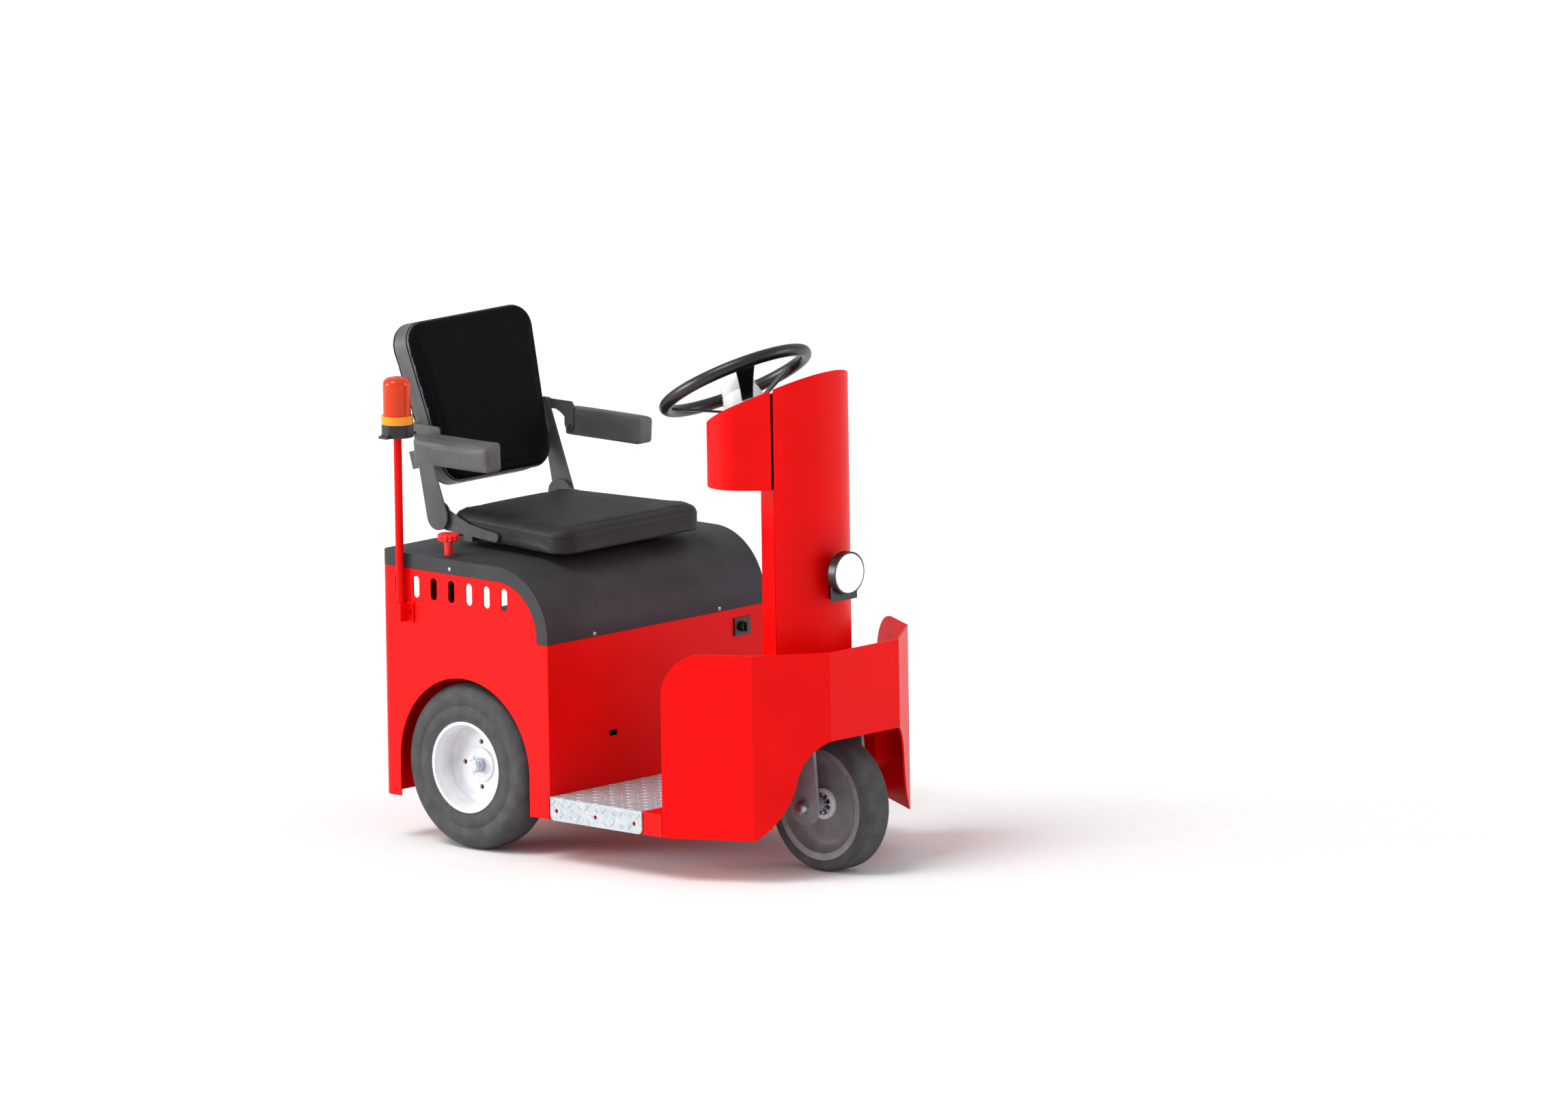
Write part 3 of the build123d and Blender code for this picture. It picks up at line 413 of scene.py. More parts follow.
def turned(profile, place, segments, closed=False):
    """Lathe work: (radius, height) points turned round local Z.

    A third value makes that ring a polygon with so many sides and its corners at that radius, or
    leaves it round where it is 0. A fourth cuts so many finger scallops in its edge. A closed profile
    is a ring; an open one gets ends.
    """
    verts = []
    for row in profile:
        radius, height = row[0], row[1]
        sides = row[2] if len(row) > 2 else 0
        for k in range(segments):
            angle = 2 * pi * k / segments
            reach = radius
            if sides:
                part = 2 * pi / sides
                reach = radius * cos(part / 2) / cos(angle % part - part / 2)
            if len(row) > 3:
                reach = radius - SCALLOP * (0.5 - 0.5 * cos(row[3] * angle))
            verts.append(place @ Vector((reach * cos(angle), reach * sin(angle), height)))
    rows = len(profile)
    return verts, walls(rows, segments, True) if closed else capped(rows, segments)


def arc(cx, cy, r, start, end, steps):
    """Points of an arc in degrees."""
    turn = [radians(start + (end - start) * k / steps) for k in range(steps + 1)]
    return [(cx + r * cos(a), cy + r * sin(a)) for a in turn]


def tube(path, radius, segments, closed=True):
    """Round bead along a list of points, open at its ends unless it is closed."""
    verts = []
    count = len(path)
    for k, point in enumerate(path):
        before = path[k - 1] if closed or k else path[k]
        after = path[(k + 1) % count] if closed or k < count - 1 else path[k]
        along = (after - before).normalized()
        side = along.cross(Vector((0, 0, 1)) if abs(along.z) < 0.9 else Vector((0, 1, 0))).normalized()
        up = side.cross(along)
        verts += [point + radius * (cos(a) * side + sin(a) * up)
                  for a in (2 * pi * s / segments for s in range(segments))]
    return verts, walls(count, segments, closed)


# ---- paint --------------------------------------------------------------------------------------
OWN_LOOKS = {"steer_fork": "fork_grey_painted_light"}      # nodes given a finish of their own: the fork's is a lighter copy of the bracket grey, painted light against the shade under the wing


class TUG_OT_finish_frame(bpy.types.Operator):
    """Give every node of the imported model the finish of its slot"""
    bl_idname = "tug.finish_frame"
    bl_label = "Paint and plate the metalwork"

    def execute(self, context):
        for part in frame["record"]["subparts"]:
            node = part["node"]
            mesh = NODES[node].data
            mesh.materials.clear()
            mesh.materials.append(material_for(OWN_LOOKS.get(node, part["material_slot"])))
        return {"FINISHED"}


# ---- tyres --------------------------------------------------------------------------------------
TYRE_SEGMENTS = 144
TYRE_FIT = 0.3                                  # room between a tyre and its rim
REAR_SHOULDER, REAR_GROOVE = 31, 1.2            # radius of the shoulder, depth of the wall's groove
BEAD_WIDTH, BEAD_STEP = 9, 1.5                  # the lower band beside the rim and its step
FRONT_EDGE = 11                                 # radius of the solid tyre's rounded edges


def tyre_section(inner, outer, half):
    """Closed section (radius, height) with round shoulders, a grooved wall and a band at each bead."""
    edge, groove = outer - REAR_SHOULDER, half - REAR_GROOVE
    right = arc(edge, half - REAR_SHOULDER, REAR_SHOULDER, 0, 90, 8)
    left = arc(edge, -half + REAR_SHOULDER, REAR_SHOULDER, -90, 0, 8)
    band = inner + BEAD_WIDTH
    wall = [(edge - 14, half), (edge - 16, groove), (edge - 20, groove), (edge - 22, half),
            (band + 3, half), (band, half - BEAD_STEP), (inner, half - BEAD_STEP)]
    return left + right + wall + [(r, -h) for r, h in wall[::-1]]


def solid_section(inner, outer, half):
    """Closed section (radius, height) of the solid tyre, flat with rounded edges."""
    edge = outer - FRONT_EDGE
    right = arc(edge, half - FRONT_EDGE, FRONT_EDGE, 0, 90, 7)
    left = arc(edge, -half + FRONT_EDGE, FRONT_EDGE, -90, 0, 7)
    return right + [(inner, half), (inner, -half)] + left


def fit_tyre(name, node, core, body, section):
    """One tyre turned about its own middle, on the wheel part that it is fitted to."""
    low, high = corners(node)
    core_low, core_high = corners(core)
    inner = (core_high.z - core_low.z) / 2 + TYRE_FIT
    profile = section(inner, (high.z - low.z) / 2, (high.y - low.y) / 2)
    place = facing((low + high) / 2, (0, 1, 0))
    return piece(name, turned(profile, place, TYRE_SEGMENTS, closed=True), body, "tyre_rubber")


class TUG_OT_fit_tyres(bpy.types.Operator):
    """Mould the two rear tyres and the solid front tyre"""
    bl_idname = "tug.fit_tyres"
    bl_label = "Fit tyres"

    def execute(self, context):
        for side in ("left", "right"):
            made = fit_tyre(f"tyre_rear_{side}", f"rear_tyre_{side}", f"rear_rim_{side}",
                            f"rear_wheel_{side}", tyre_section)
            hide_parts(f"rear_tyre_{side}")
        made = fit_tyre("tyre_front", "front_tyre", "front_wheel_centre", "front_wheel", solid_section)
        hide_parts("front_tyre")
        return {"FINISHED"}


# ---- wheel fittings -----------------------------------------------------------------------------
AXLE_NUT = [(CORE, 0), (18, 0, 6), (18, 9, 6), (16.5, 11), (16, 15), (14.4, 15), (14.4, 24.4),
            (12.8, 26), (CORE, 26)]
BOLT_NUT = [(CORE, 0), (17, 0, 6), (17, 9, 6), (15.5, 10.8), (CORE, 10.8)]
BEARING = [(24.2, 0), (33.6, 0), (34.8, 1.2), (34.8, 9.4), (33.6, 10.6), (25.4, 10.6), (24.2, 9.4)]
CAGE_BAR = [(CORE, 0), (3.4, 0), (3.4, 8.6), (2.6, 9.2), (CORE, 9.2)]
CAGE_BARS, CAGE_RADIUS = 8, 20.6
RIM_DISH = 48                                  # from a rear rim's outer edge in to its disc
PIN_AT, PIN_HALF, PIN_RADIUS = 19.5, 21, 1.7   # the cotter pin: height on the nut, half length, radius
BEARING_AT = 15                                # from the front wheel's middle to each bearing
NUT_FIT = 0.4                                  # room between a bolt nut and its fork leg


class TUG_OT_fit_wheel_nuts(bpy.types.Operator):
    """Fit the axle nuts, the front wheel's bolt nuts and its bearing rings"""
    bl_idname = "tug.fit_wheel_nuts"
    bl_label = "Fit wheel nuts and bearings"

    def execute(self, context):
        for side, sign in (("left", 1), ("right", -1)):
            centre = pivot(f"rear_wheel_{side}_spin")
            low, high = corners(f"rear_rim_{side}")
            disc = (high.y - RIM_DISH) if sign > 0 else (low.y + RIM_DISH)
            out = Vector((0, sign, 0))
            hub = Vector((centre.x, disc, centre.z))
            pin = tube([hub + out * PIN_AT + Vector((0, 0, z)) for z in (-PIN_HALF, PIN_HALF)],
                       PIN_RADIUS, 8, closed=False)
            piece(f"axle_nut_{side}", joined([turned(AXLE_NUT, facing(hub, out), 24), pin]),
                  f"rear_wheel_{side}", "zinc")
        centre = pivot("front_wheel_spin")
        low, high = corners("steer_fork")
        rings, nuts = [], []
        for sign, leg in ((1, high.y), (-1, low.y)):
            out = Vector((0, sign, 0))
            seat = Vector((centre.x, centre.y + sign * BEARING_AT, centre.z))
            rings.append(turned(BEARING, facing(seat, out), 48, closed=True))
            for k in range(CAGE_BARS):
                angle = 2 * pi * k / CAGE_BARS
                foot = seat + Vector((cos(angle), 0, sin(angle))) * CAGE_RADIUS
                rings.append(turned(CAGE_BAR, facing(foot, out), 10))
            nuts.append(turned(BOLT_NUT, facing((centre.x, leg + sign * NUT_FIT, centre.z), out), 24))
        piece("front_bearing_rings", joined(rings), "front_wheel", "white_paint")
        piece("front_bolt_nuts", joined(nuts), "fork", "zinc")
        return {"FINISHED"}


# ---- floor plate --------------------------------------------------------------------------------
BAR_WIDTH, RIDGE_REACH = 0.3, 0.3           # of a bar's length; the ridge counts from its middle
BAR_HEIGHT = 1.4
EDGE_ROOM, HOLE_ROOM = 0.42, 0.75           # clear of edges and of bolt holes, in bar lengths
SKIRT_HOLES, SKIRT_HOLE_UP = (0, 119, 238), 22
SKIRT_HOLE_FROM = 19.5                      # from the plate's rear edge to the first hole
SKIRT_HEM = 4                               # plain strip along the foot of a side skirt


def lozenge(centre, along, across, out, length):
    """Low pointed bar with sloped flanks."""
    width, up = length * BAR_WIDTH, out * BAR_HEIGHT
    tip = [centre + along * length / 2, centre - along * length / 2]
    flank = [centre + across * width / 2, centre - across * width / 2]
    ridge = [centre + along * length * RIDGE_REACH + up, centre - along * length * RIDGE_REACH + up]
    verts = [tip[0], flank[0], tip[1], flank[1], ridge[0], ridge[1]]
    return verts, [[0, 1, 4], [1, 5, 4], [1, 2, 5], [2, 3, 5], [3, 4, 5], [3, 0, 4]]


def tread_bars(origin, u, v, out, u_length, v_length, keep_off):
    """Bars in alternate directions over a rectangle, clear of its edges and of round places."""
    pitch, length = sizes().lozenge_pitch / MM, sizes().lozenge_length / MM
    margin = length * EDGE_ROOM
    bars = []
    for i in range(int((u_length - 2 * margin) / pitch) + 1):
        for j in range(int((v_length - 2 * margin) / pitch) + 1):
            at = origin + u * (margin + i * pitch) + v * (margin + j * pitch)
            if any((at - spot).length < length * HOLE_ROOM for spot in keep_off):
                continue
            lean = u + v if (i + j) % 2 else u - v
            lean = lean.normalized()
            bars.append(lozenge(at, lean, lean.cross(out), out, length))
    return bars


class TUG_OT_lay_tread(bpy.types.Operator):
    """Raise the tread's pointed bars on the floor plate and its side skirts"""
    bl_idname = "tug.lay_tread"
    bl_label = "Roll tread pattern"

    def execute(self, context):
        low, high = corners("tread_plate")
        x, y, z = Vector((1, 0, 0)), Vector((0, 1, 0)), Vector((0, 0, 1))
        length, width = high.x - low.x, high.y - low.y
        bars = tread_bars(Vector((low.x, low.y, high.z)), x, y, z, length, width, [])
        for edge, out in ((low.y, -y), (high.y, y)):
            holes = [Vector((low.x + SKIRT_HOLE_FROM + step, edge, low.z + SKIRT_HOLE_UP))
                     for step in SKIRT_HOLES]
            bars += tread_bars(Vector((low.x, edge, low.z + SKIRT_HEM)), x, z, out, length,
                               high.z - low.z - SKIRT_HEM, holes)
        piece("floor_tread_pattern", joined(bars), "chassis", "galvanised", smooth=False)
        return {"FINISHED"}


# ---- top cover ----------------------------------------------------------------------------------
SIDE_SCREW = (218, 21.5)                # from the cover's rear edge, and down from its top
LIP_SCREW = (200, 6.5)                  # to each side of the middle, and up from the lip's foot
COVER_FLANGE, COVER_BEND, COVER_SHEET = 33, 27, 3      # height, outer radius of a corner, thickness
STRIP_DROP, STRIP_FIT = 0.2, 0.1                       # under the cover's top, and inside its bend
STRIP_FROM, STRIP_SWEEP, STRIP_STEPS = 20, 50, 12      # the part of the bend that it fills, in degrees


def button_head(point, out, radius):
    """Domed head with a hexagon socket."""
    r, h = radius, radius * 0.5
    profile = [(r, 0), (r, h * 0.25), (r * 0.93, h * 0.6), (r * 0.75, h * 0.86), (r * 0.5, h),
               (r * 0.46, h, 6), (r * 0.44, h * 0.3, 6)]
    return turned(profile, facing(point, out), 24)


class TUG_OT_fit_screws(bpy.types.Operator):
    """Fit the button-head screws of the cover and of its lip"""
    bl_idname = "tug.fit_screws"
    bl_label = "Fit screws"

    def execute(self, context):
        radius = sizes().screw_radius / MM
        low, high = corners("top_cover")
        middle = (high.y + low.y) / 2
        heads = []
        for side, edge in ((1, high.y), (-1, low.y)):
            heads.append(button_head((low.x + SIDE_SCREW[0], edge, high.z - SIDE_SCREW[1]),
                                     (0, side, 0), radius))
            heads.append(button_head((high.x, middle + side * LIP_SCREW[0], low.z + LIP_SCREW[1]),
                                     (1, 0, 0), radius))
        piece("cover_screws", joined(heads), "chassis", "zinc")
        return {"FINISHED"}


class TUG_OT_close_corners(bpy.types.Operator):
    """Close the top cover's two bent rear corners with a strip of sheet each"""
    bl_idname = "tug.close_corners"
    bl_label = "Close the cover's corners"

    def execute(self, context):
        low, high = corners("top_cover")
        foot, top = high.z - COVER_FLANGE, high.z - STRIP_DROP
        outer, inner = COVER_BEND - STRIP_FIT, COVER_BEND - COVER_SHEET
        strips = []
        for side, edge in ((1, high.y), (-1, low.y)):
            centre = Vector((low.x + COVER_BEND, edge - side * COVER_BEND, 0))
            verts = []
            for step in range(STRIP_STEPS + 1):
                angle = radians(STRIP_FROM + STRIP_SWEEP * step / STRIP_STEPS)
                out = Vector((-cos(angle), side * sin(angle), 0))
                verts += [centre + out * r + Vector((0, 0, z))
                          for r, z in ((outer, foot), (outer, top), (inner, top), (inner, foot))]
            strips.append((verts, capped(STRIP_STEPS + 1, 4)))
        piece("cover_corners", joined(strips), "chassis", "dark_paint")
        return {"FINISHED"}


# ---- steering wheel and controls ----------------------------------------------------------------
CENTRE_PAD = [(CORE, 5), (30, 5), (35.5, 3.4), (38, -1), (40.5, -27), (40.0, -28), (41.5, -29), (50, -58),
              (50, -70), (48, -73), (CORE, -73)]
COLUMN_END = [(CORE, -120), (29, -120), (29, -90), (27, -88), (CORE, -88)]
HUB = [(CORE, -86), (24, -86), (24, -72), (CORE, -72)]
DISH = 70                               # depth of the wheel's hub under its rim
FIRST_SPOKE = 86.0                      # angle of the first of three spokes, in degrees
SPOKE_ROOT, SPOKE_END = 20, 24          # from the axis, and in from the outside of the rim
SPOKE_WIDTHS, SPOKE_THICK = (26, 50), 6


def blade(place, turn, tip):
    """Flat spoke that climbs from the hub to the rim and widens towards it."""
    verts, rows = [], 9
    narrow, wide = SPOKE_WIDTHS
    thick, bevel = SPOKE_THICK, SPOKE_THICK * 0.3
    for k in range(rows):
        part = k / (rows - 1)
        reach = SPOKE_ROOT + (tip - SPOKE_ROOT) * part
        height = -DISH * (1 - part)
        half = (narrow + (wide - narrow) * part ** 2) / 2
        ring = [(-half, -thick / 2 + bevel), (-half + bevel, -thick / 2),
                (half - bevel, -thick / 2), (half, -thick / 2 + bevel),
                (half, thick / 2 - bevel), (half - bevel, thick / 2),
                (-half + bevel, thick / 2), (-half, thick / 2 - bevel)]
        verts += [place @ Matrix.Rotation(turn, 4, "Z") @ Vector((reach, y, height + z)) for y, z in ring]
    return verts, capped(rows, 8)


class TUG_OT_fit_steering(bpy.types.Operator):
    """Fit the dished spokes, the white centre pad and the column's end"""
    bl_idname = "tug.fit_steering"
    bl_label = "Fit steering wheel"

    def execute(self, context):
        joint = JOINTS["steering_wheel_turn"]
        axis, side = Vector(joint["axis"]).normalized(), Vector((0, 1, 0))
        place = Matrix((side.cross(axis), side, axis)).transposed().to_4x4()
        place.translation = pivot("steering_wheel_turn")
        rim_low, rim_high = corners("steering_rim")
        tip = (rim_high.y - rim_low.y) / 2 - SPOKE_END
        wheel = [blade(place, radians(FIRST_SPOKE + 120 * k), tip) for k in range(3)]
        wheel.append(turned(HUB, place, 32))
        made = piece("wheel_spokes", joined(wheel), "steering_wheel", "black_plastic")
        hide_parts("steering_spokes")
        piece("wheel_centre_pad", turned(CENTRE_PAD, place, 64), "steering_wheel", "white_paint")
        made = piece("column_end", turned(COLUMN_END, place, 48), "chassis", "white_paint")
        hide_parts("column_head")
        return {"FINISHED"}


STOP_HEIGHT = 17.9
STOP_HEAD = [(CORE, 0), (20, 0), (23.4, 1.5, 0, 12), (24.6, 3.5, 0, 12), (24.6, 6, 0, 12),
             (22.6, 7.2, 0, 12), (22.4, 8.4, 0, 12), (24.2, 9.6, 0, 12), (24.6, 11.5, 0, 12),
             (24.2, 14.5, 0, 12), (21.5, 16.6, 0, 12), (15, 17.6), (CORE, STOP_HEIGHT)]
STOP_STEM = 9.4                         # radius of the stem under the head
STOP_COLLAR = [(CORE, 0), (23.6, 0), (23.6, 1.4), (22.4, 2.2), (12, 2.2), (CORE, 2.2)]


class TUG_OT_fit_stop_button(bpy.types.Operator):
    """Fit the scalloped stop button with its stem and collar"""
    bl_idname = "tug.fit_stop_button"
    bl_label = "Fit stop button"

    def execute(self, context):
        low, high = corners("estop_button")
        foot = Vector(((low.x + high.x) / 2, (low.y + high.y) / 2, low.z))
        up = Vector((0, 0, 1))
        rise = high.z - low.z - STOP_HEIGHT
        stem_profile = [(CORE, 1), (STOP_STEM, 1), (STOP_STEM, rise + 1), (CORE, rise + 1)]
        stem = turned(stem_profile, facing(foot, up), 32)
        head = turned(STOP_HEAD, facing(foot + up * rise, up), 96)
        made = piece("stop_button", joined([stem, head]), "chassis", "red_plastic")
        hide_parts("estop_button")
        piece("stop_button_collar", turned(STOP_COLLAR, facing(foot, up), 48), "chassis", "dark_paint")
        return {"FINISHED"}


# ---- upholstery ---------------------------------------------------------------------------------
PRESSURE, SWELL_FRAMES = 4.0, 20        # of the stuffing, and how long it acts
SIDE_SWELL, CREEP = 1.2, 1.0            # most that the cover moves out at a side, and in or along
BOARD = 1.5                             # thickness of the board that the cover is pinned to
SHEEN_BAND_TILT = 0.35                        # faces that look up or down by less than this take the lighter grey vinyl, a painted sheen on the sides
RING_SPACING, WELT_SPACING, STITCH_SPACING = 14, 6, 2.5
STITCH_INSET, STITCH_LIFT = 23, 0.1     # from a pad's outline in to its top stitch, and over its skin
STITCH_GAP, THREAD = 2.4, 0.55          # between two stitches, and the thread's radius
CUSHION_CORNER, CUSHION_SEAM = 45, 22   # corner radius, and the welt's depth under the top
CUSHION_EDGES = (3, 20)                 # radius of a pad's lower and upper edge, here and below
CUSHION_FLARE = 5.8                     # past its half width, where its tapered sides would meet the front
CUSHION_REAR_IN, CUSHION_FRONT_IN = 51, 1       # in from there, at its rear and at its front
BACK_PLAN = (66.3, 434.3, 166, 203, 50)         # up the back from its hinge, as taper_ring takes it
BACK_REAR, BACK_FRONT = -31.2, 36.3             # the backrest pad's two faces, from its hinge
BACK_SEAMS, BACK_EDGES = [14.5, -25], (4, 20)
ARM_WIDTH, ARM_CORNER, ARM_FIT = 56, 9, 0.8     # the last is room for the cover round the plain pad
ARM_CROWN, ARM_EDGES = 1.5, (6, 8)
ARM_SLOPE = (11, 5)                     # fall of an armrest's top, and lean of its outer side


def taper_ring(plan, inset, z, spacing=RING_SPACING):
    """Rounded outline of a pad that is wider at one end, as one ring of points at a height.

    plan holds its two ends, its half width at each and its corner radius.
    """
    x0, x1, half0, half1, corner = plan
    lean = atan2(half1 - half0, x1 - x0)
    near_y = half0 + corner * sin(lean) - corner / cos(lean)
    far_y = half1 - corner * sin(lean) - corner / cos(lean)
    tilt = lean * 180 / pi
    radius = max(corner - inset, 1.0)
    left = arc(x1 - corner, far_y, radius, 0, 90 + tilt, 8)
    left += arc(x0 + corner, near_y, radius, 90 + tilt, 180, 8)
    loop = left + [(x, -y) for x, y in left[::-1]]
    ring = []
    for k, (x, y) in enumerate(loop):
        next_x, next_y = loop[(k + 1) % len(loop)]
        run_x, run_y = next_x - x, next_y - y
        steps = max(1, int(hypot(run_x, run_y) / spacing))
        ring += [Vector((x + run_x * s / steps, y + run_y * s / steps, z)) for s in range(steps)]
    return ring


def pad_form(plan, z0, z1, edge_low, edge_high):
    """Closed pad with a rounded plan and rounded lower and upper edges, in its own axes."""
    turn = [radians(18 * k) for k in range(6)]      # a quarter turn in five steps
    rows = [(edge_low * (1 - sin(a)), z0 + edge_low * (1 - cos(a))) for a in turn]
    rows += [(edge_high * (1 - cos(a)), z1 - edge_high * (1 - sin(a))) for a in turn]
    rings = [taper_ring(plan, inset, z) for inset, z in rows]
    return [v for ring in rings for v in ring], capped(len(rings), len(rings[0]))


def settle(start, end, normal, crown):
    """Where a point of the cover ends: out by at most the crown, in or along by at most the creep."""
    shift = end - start
    out = shift.dot(normal)
    along = shift - normal * out
    most = (SIDE_SWELL + (crown - SIDE_SWELL) * max(0.0, normal.z) ** 2 if out > 0 else CREEP) * MM
    creep = CREEP * MM
    out = most * (1 - exp(-abs(out) / most)) * (1 if out > 0 else -1)
    if along.length > 1e-9:
        along = along.normalized() * creep * (1 - exp(-along.length / creep))
    return start + normal * out + along


def stuff(pad, board, crown, voxel):
    """Fill a pad: remesh it, let pressure swell the cloth above its board, and keep the result."""
    remesh = pad.modifiers.new("Even cloth", "REMESH")
    remesh.mode = "VOXEL"
    remesh.voxel_size = voxel * MM
    apply_modifiers(pad)
    rest = [(v.co.copy(), v.normal.copy()) for v in pad.data.vertices]
    pins = pad.vertex_groups.new(name="board")
    pins.add([v.index for v in pad.data.vertices if v.co.z < board * MM], 1.0, "REPLACE")
    cloth = pad.modifiers.new("Stuffing", "CLOTH")
    cloth.settings.vertex_group_mass = "board"
    cloth.settings.use_pressure = True
    cloth.settings.uniform_pressure_force = PRESSURE
    cloth.settings.effector_weights.gravity = 0.0
    cloth.settings.quality = 5
    cloth.collision_settings.use_collision = False
    scene = bpy.context.scene
    for step in range(1, SWELL_FRAMES + 1):
        scene.frame_set(step)
    swollen = pad.evaluated_get(bpy.context.evaluated_depsgraph_get())
    moved = [v.co.copy() for v in swollen.data.vertices]
    pad.modifiers.remove(cloth)
    scene.frame_set(1)
    for vertex, (start, normal), end in zip(pad.data.vertices, rest, moved):
        vertex.co = settle(start, end, normal, crown)


def apply_modifiers(made):
    """Keep the mesh that an object's modifiers give, and drop them."""
    made.data = bpy.data.meshes.new_from_object(made.evaluated_get(bpy.context.evaluated_depsgraph_get()))
    made.modifiers.clear()


def round_off(pad):
    """One level of subdivision, applied."""
    level = pad.modifiers.new("Round off", "SUBSURF")
    level.levels = 1
    apply_modifiers(pad)
    pad.data.shade_smooth()


def surface_path(pad, points, lift):
    """Points laid on a pad's real surface, lifted off it, in millimetres."""
    skin = BVHTree.FromPolygons([v.co for v in pad.data.vertices], [p.vertices for p in pad.data.polygons])
    path = []
    for point in points:
        spot, normal, _, _ = skin.find_nearest(point * MM)
        path.append((spot + normal * lift * MM) / MM)
    return path


def stitches(path):
    """Short raised threads along a closed line."""
    made, walked = [], 0.0
    length = sizes().stitch / MM
    for k, point in enumerate(path):
        after = path[(k + 1) % len(path)]
        walked += (after - point).length
        if walked >= length + STITCH_GAP:
            walked = 0.0
            along = (after - point).normalized()
            made.append(tube([point, point + along * length], THREAD, 5, closed=False))
    return joined(made)


def slope_top(pad, z0, z1, drop, lean):
    """Let the top of an armrest fall to its outer side (+Y here), and that side lean in at its foot."""
    for vertex in pad.data.vertices:
        co = vertex.co / MM
        part = min(max((co.z - z0) / (z1 - z0), 0.0), 1.0)
        across = min(max(co.y / ARM_WIDTH + 0.5, 0.0), 1.0)
        vertex.co = Vector((co.x, co.y - lean * (1 - part) * across, co.z - drop * across * part)) * MM


def upholster(name, node, body, plan, z0, z1, edges, place, seams, stitch_inset, crown, voxel=5.0, slope=None,
              look=None, band=None):
    """One stuffed pad in its own axes, with welts and a top stitch, set in place of its plain solid.

    seams are the heights of its welts, slope goes to slope_top, and band is the look of its sides: a lighter vinyl
    that paints the sheen of the left light onto them.
    """
    pad = piece(name, pad_form(plan, z0, z1, *edges), body, "pad_vinyl", look=look)
    if slope:
        slope_top(pad, z0, z1, *slope)
    stuff(pad, z0 + BOARD, crown, voxel)
    round_off(pad)
    parts = [tube(surface_path(pad, taper_ring(plan, 0, z, WELT_SPACING), 0.0), sizes().welt / MM, 8)
             for z in seams]
    if stitch_inset:
        line = taper_ring(plan, stitch_inset, z1, STITCH_SPACING)
        parts.append(stitches(surface_path(pad, line, STITCH_LIFT)))
    sewn = [piece(f"{name}_welt", joined(parts), body, "pad_vinyl", look=look)] if parts else []
    # the sides take a lighter vinyl, which paints on them the sheen of the left light
    if band:
        pad.data.materials.append(material_for(band))
        for face in pad.data.polygons:
            face.material_index = int(abs(face.normal.z) < SHEEN_BAND_TILT)
    for made in [pad, *sewn]:
        made.data.transform(place)
        if place.is_negative:
            made.data.flip_normals()
        made.data.update()
    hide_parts(node)


class TUG_OT_upholster(bpy.types.Operator):
    """Stuff and sew the cushion, the backrest and the two armrests"""
    bl_idname = "tug.upholster"
    bl_label = "Upholster the seat"

    def execute(self, context):
        crown = sizes().crown / MM
        hinge = pivot("backrest_fold")
        low, high = corners("seat_cushion")
        front = (high.y - low.y) / 2 + CUSHION_FLARE
        plan = (low.x + 1, high.x - 1, front - CUSHION_REAR_IN, front - CUSHION_FRONT_IN, CUSHION_CORNER)
        place = Matrix.Translation((0, hinge.y * MM, 0))
        upholster("cushion", "seat_cushion", "chassis", plan, low.z + 0.3, high.z - crown + 1,
                  CUSHION_EDGES, place, [high.z - CUSHION_SEAM], STITCH_INSET, crown)
        arm = pivot("armrest_left_lift")
        up = Vector((arm.x - hinge.x, 0, arm.z - hinge.z)).normalized()
        side = Vector((0, -1, 0))
        back = Matrix((up, side, up.cross(side))).transposed().to_4x4()
        back.translation = hinge * MM
        # the backrest's sides take the lighter grey vinyl, a painted sheen
        upholster("backrest", "backrest_pad", "backrest", BACK_PLAN, BACK_REAR, BACK_FRONT - crown + 1,
                  BACK_EDGES, back, BACK_SEAMS, STITCH_INSET, crown, look="back_vinyl", band="painted_sheen_vinyl")
        for hand, sign in (("left", 1), ("right", -1)):
            low, high = corners(f"armrest_pad_{hand}")
            half = (high.y - low.y) / 2 - ARM_FIT
            plan = (low.x + ARM_FIT, high.x - ARM_FIT, half, half, ARM_CORNER)
            place = Matrix.Translation((0, (low.y + high.y) / 2 * MM, 0)) @ Matrix.Scale(sign, 4, (0, 1, 0))
            # the armrests take the lighter grey vinyl all over, a painted sheen
            upholster(f"armrest_{hand}", f"armrest_pad_{hand}", f"armrest_{hand}", plan,
                      low.z + ARM_FIT, high.z - 1, ARM_EDGES, place, [], 0, ARM_CROWN, voxel=4.0,
                      slope=ARM_SLOPE, look="painted_sheen_vinyl")
        return {"FINISHED"}


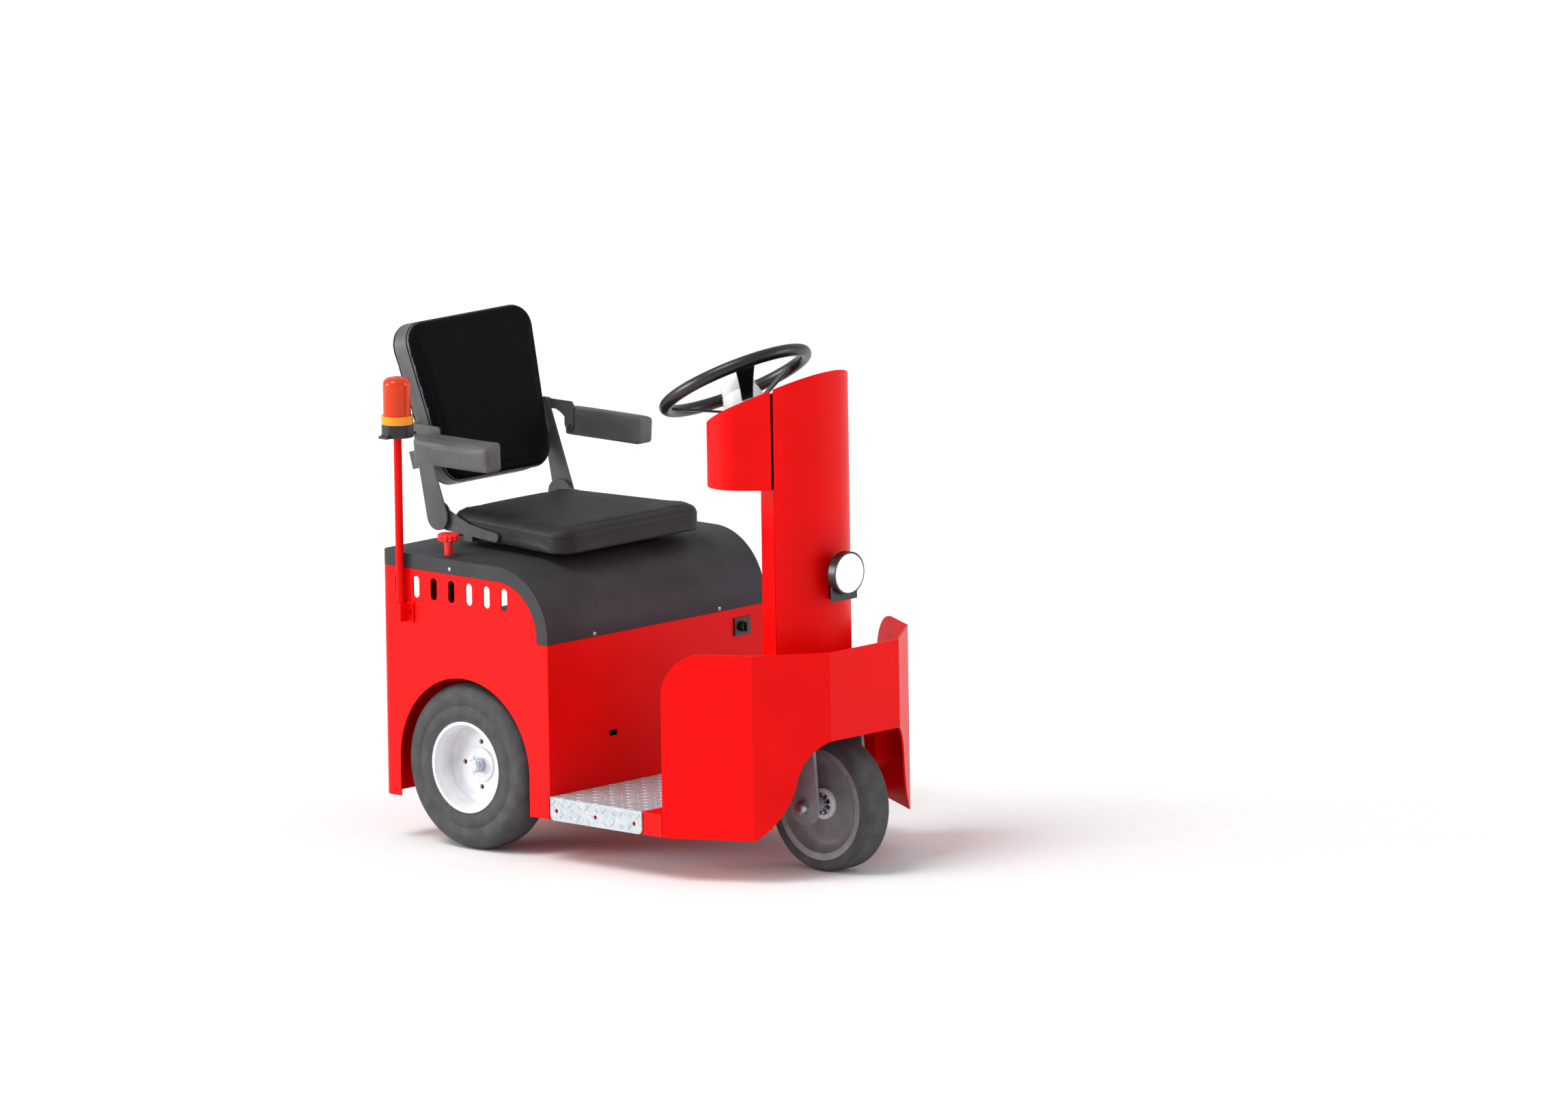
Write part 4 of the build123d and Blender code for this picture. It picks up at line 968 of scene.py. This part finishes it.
# ---- stage --------------------------------------------------------------------------------------
class TUG_OT_set_stage(bpy.types.Operator):
    """Lay the pale floor, hang the soft lights and set the camera"""
    bl_idname = "tug.set_stage"
    bl_label = "Set the stage"

    VIEW_AZIMUTH, VIEW_ELEVATION, VIEW_ROLL = 43.743, 10.116, -0.8745
    FRAME_WIDTH = 3.490      # metres across the picture at the tug
    LENS, SENSOR = 600.0, 36.0
    AIM_RIGHT, AIM_UP = 0.2750, 0.6383      # metres, from the floor under the seat's front panel
    WHITE, VIOLET = (1.0, 1.0, 1.0), (0.86, 0.80, 1.0)
    AMBIENT = 0.62
    SOFTBOX_ANGLE = 28       # degrees that each light spans, which softens its shadows
    SOFTBOXES = (("left_softbox", (-0.68, -0.71, 0.16), 2.2, WHITE),
                 ("right_softbox", (0.74, 0.62, 0.14), 0.9, VIOLET),
                 ("top_softbox", (-0.10, -0.50, 0.86), 1.6, WHITE))
    LAMP_AWAY = 5            # metres; a sun's distance doesn't change its light
    FLOOR_RADII = (2000, 9000, 60000)

    def execute(self, context):
        self.lay_floor()
        self.hang_lights()
        self.set_camera(context)
        return {"FINISHED"}

    def lay_floor(self):
        """A wide plain disc of pale studio vinyl."""
        rings = [(radius, 0) for radius in (CORE, *self.FLOOR_RADII)]
        verts, faces = turned(rings, Matrix.Identity(4), 96)
        mesh = bpy.data.meshes.new("studio_floor")
        # the last face would cover the whole disc a second time
        mesh.from_pydata([Vector((v.x, v.y, 0)) * MM for v in verts], [], faces[:-1])
        floor = bpy.data.objects.new("studio_floor", mesh)
        bpy.context.scene.collection.objects.link(floor)
        material, tree, shader, place = finish(
            "studio_vinyl_pale", {"Roughness": 0.9, "Specular IOR Level": 0.0})
        mottle(tree, shader, place, "F5F5F5", "F7F7F7", 40)
        mesh.materials.append(material)

    def hang_lights(self):
        """Even light from all round, and three wide soft lights."""
        world = bpy.data.worlds.new("studio")
        bpy.context.scene.world = world
        world.use_nodes = True
        background = world.node_tree.nodes["Background"]
        background.inputs["Color"].default_value = (*self.WHITE, 1.0)
        background.inputs["Strength"].default_value = self.AMBIENT
        for name, toward, strength, tint in self.SOFTBOXES:
            lamp = bpy.data.lights.new(name, "SUN")
            lamp.energy, lamp.angle, lamp.color = strength, radians(self.SOFTBOX_ANGLE), tint
            holder = bpy.data.objects.new(name, lamp)
            bpy.context.scene.collection.objects.link(holder)
            holder.location = Vector(toward) * self.LAMP_AWAY
            holder.rotation_mode = "QUATERNION"
            holder.rotation_quaternion = (-Vector(toward)).to_track_quat("-Z", "Y")

    def set_camera(self, context):
        """A long lens that looks at the tug from its front right, a little from above."""
        az, el, roll = (radians(v) for v in (self.VIEW_AZIMUTH, self.VIEW_ELEVATION, self.VIEW_ROLL))
        back = Vector((sin(az) * cos(el), -cos(az) * cos(el), sin(el)))
        right = Vector((cos(az), sin(az), 0))
        up = back.cross(right)
        right, up = right * cos(roll) + up * sin(roll), up * cos(roll) - right * sin(roll)
        data = bpy.data.cameras.new("camera")
        data.lens, data.sensor_width = self.LENS, self.SENSOR
        data.clip_start, data.clip_end = 1.0, 400.0
        camera = bpy.data.objects.new("camera", data)
        context.scene.collection.objects.link(camera)
        datum = Vector((corners("front_panel")[1].x, pivot("backrest_fold").y, 0)) * MM
        aim = datum + right * self.AIM_RIGHT + up * self.AIM_UP
        place = Matrix((right, up, back)).transposed().to_4x4()
        place.translation = aim + back * self.FRAME_WIDTH * self.LENS / self.SENSOR
        camera.matrix_world = place
        context.scene.camera = camera
        context.scene.view_settings.view_transform = "Standard"


# ---- panel and registration ---------------------------------------------------------------------
STEPS = [TUG_OT_finish_frame, TUG_OT_fit_tyres, TUG_OT_fit_wheel_nuts, TUG_OT_lay_tread,
         TUG_OT_fit_screws, TUG_OT_close_corners, TUG_OT_fit_steering, TUG_OT_fit_stop_button,
         TUG_OT_upholster, TUG_OT_set_stage]


class TUG_PT_sidebar(bpy.types.Panel):
    """Lists the sizes, the colours and the steps in order."""
    bl_idname = "TUG_PT_sidebar"
    bl_label = "Baggage Tug"
    bl_space_type = "VIEW_3D"
    bl_region_type = "UI"
    bl_category = "Baggage Tug"

    def draw(self, context):
        for settings in (context.scene.tug_sizes, context.scene.tug_colours):
            box = self.layout.box()
            for key in settings.__annotations__:
                box.prop(settings, key)
        for step in STEPS:
            self.layout.operator(step.bl_idname)


CLASSES = [TugSizes, TugColours, TugFinish, *STEPS, TUG_PT_sidebar]


def register():
    for entry in CLASSES:
        bpy.utils.register_class(entry)
    bpy.types.Scene.tug_sizes = bpy.props.PointerProperty(type=TugSizes)
    bpy.types.Scene.tug_colours = bpy.props.PointerProperty(type=TugColours)
    bpy.types.Scene.tug_finishes = bpy.props.CollectionProperty(type=TugFinish)


def unregister():
    del bpy.types.Scene.tug_finishes
    del bpy.types.Scene.tug_colours
    del bpy.types.Scene.tug_sizes
    for entry in reversed(CLASSES):
        bpy.utils.unregister_class(entry)


def main():
    register()
    bpy.ops.tug.finish_frame()
    bpy.ops.tug.fit_tyres()
    bpy.ops.tug.fit_wheel_nuts()
    bpy.ops.tug.lay_tread()
    bpy.ops.tug.fit_screws()
    bpy.ops.tug.close_corners()
    bpy.ops.tug.fit_steering()
    bpy.ops.tug.fit_stop_button()
    bpy.ops.tug.upholster()
    bpy.ops.tug.set_stage()


if __name__ == "__main__":
    main()
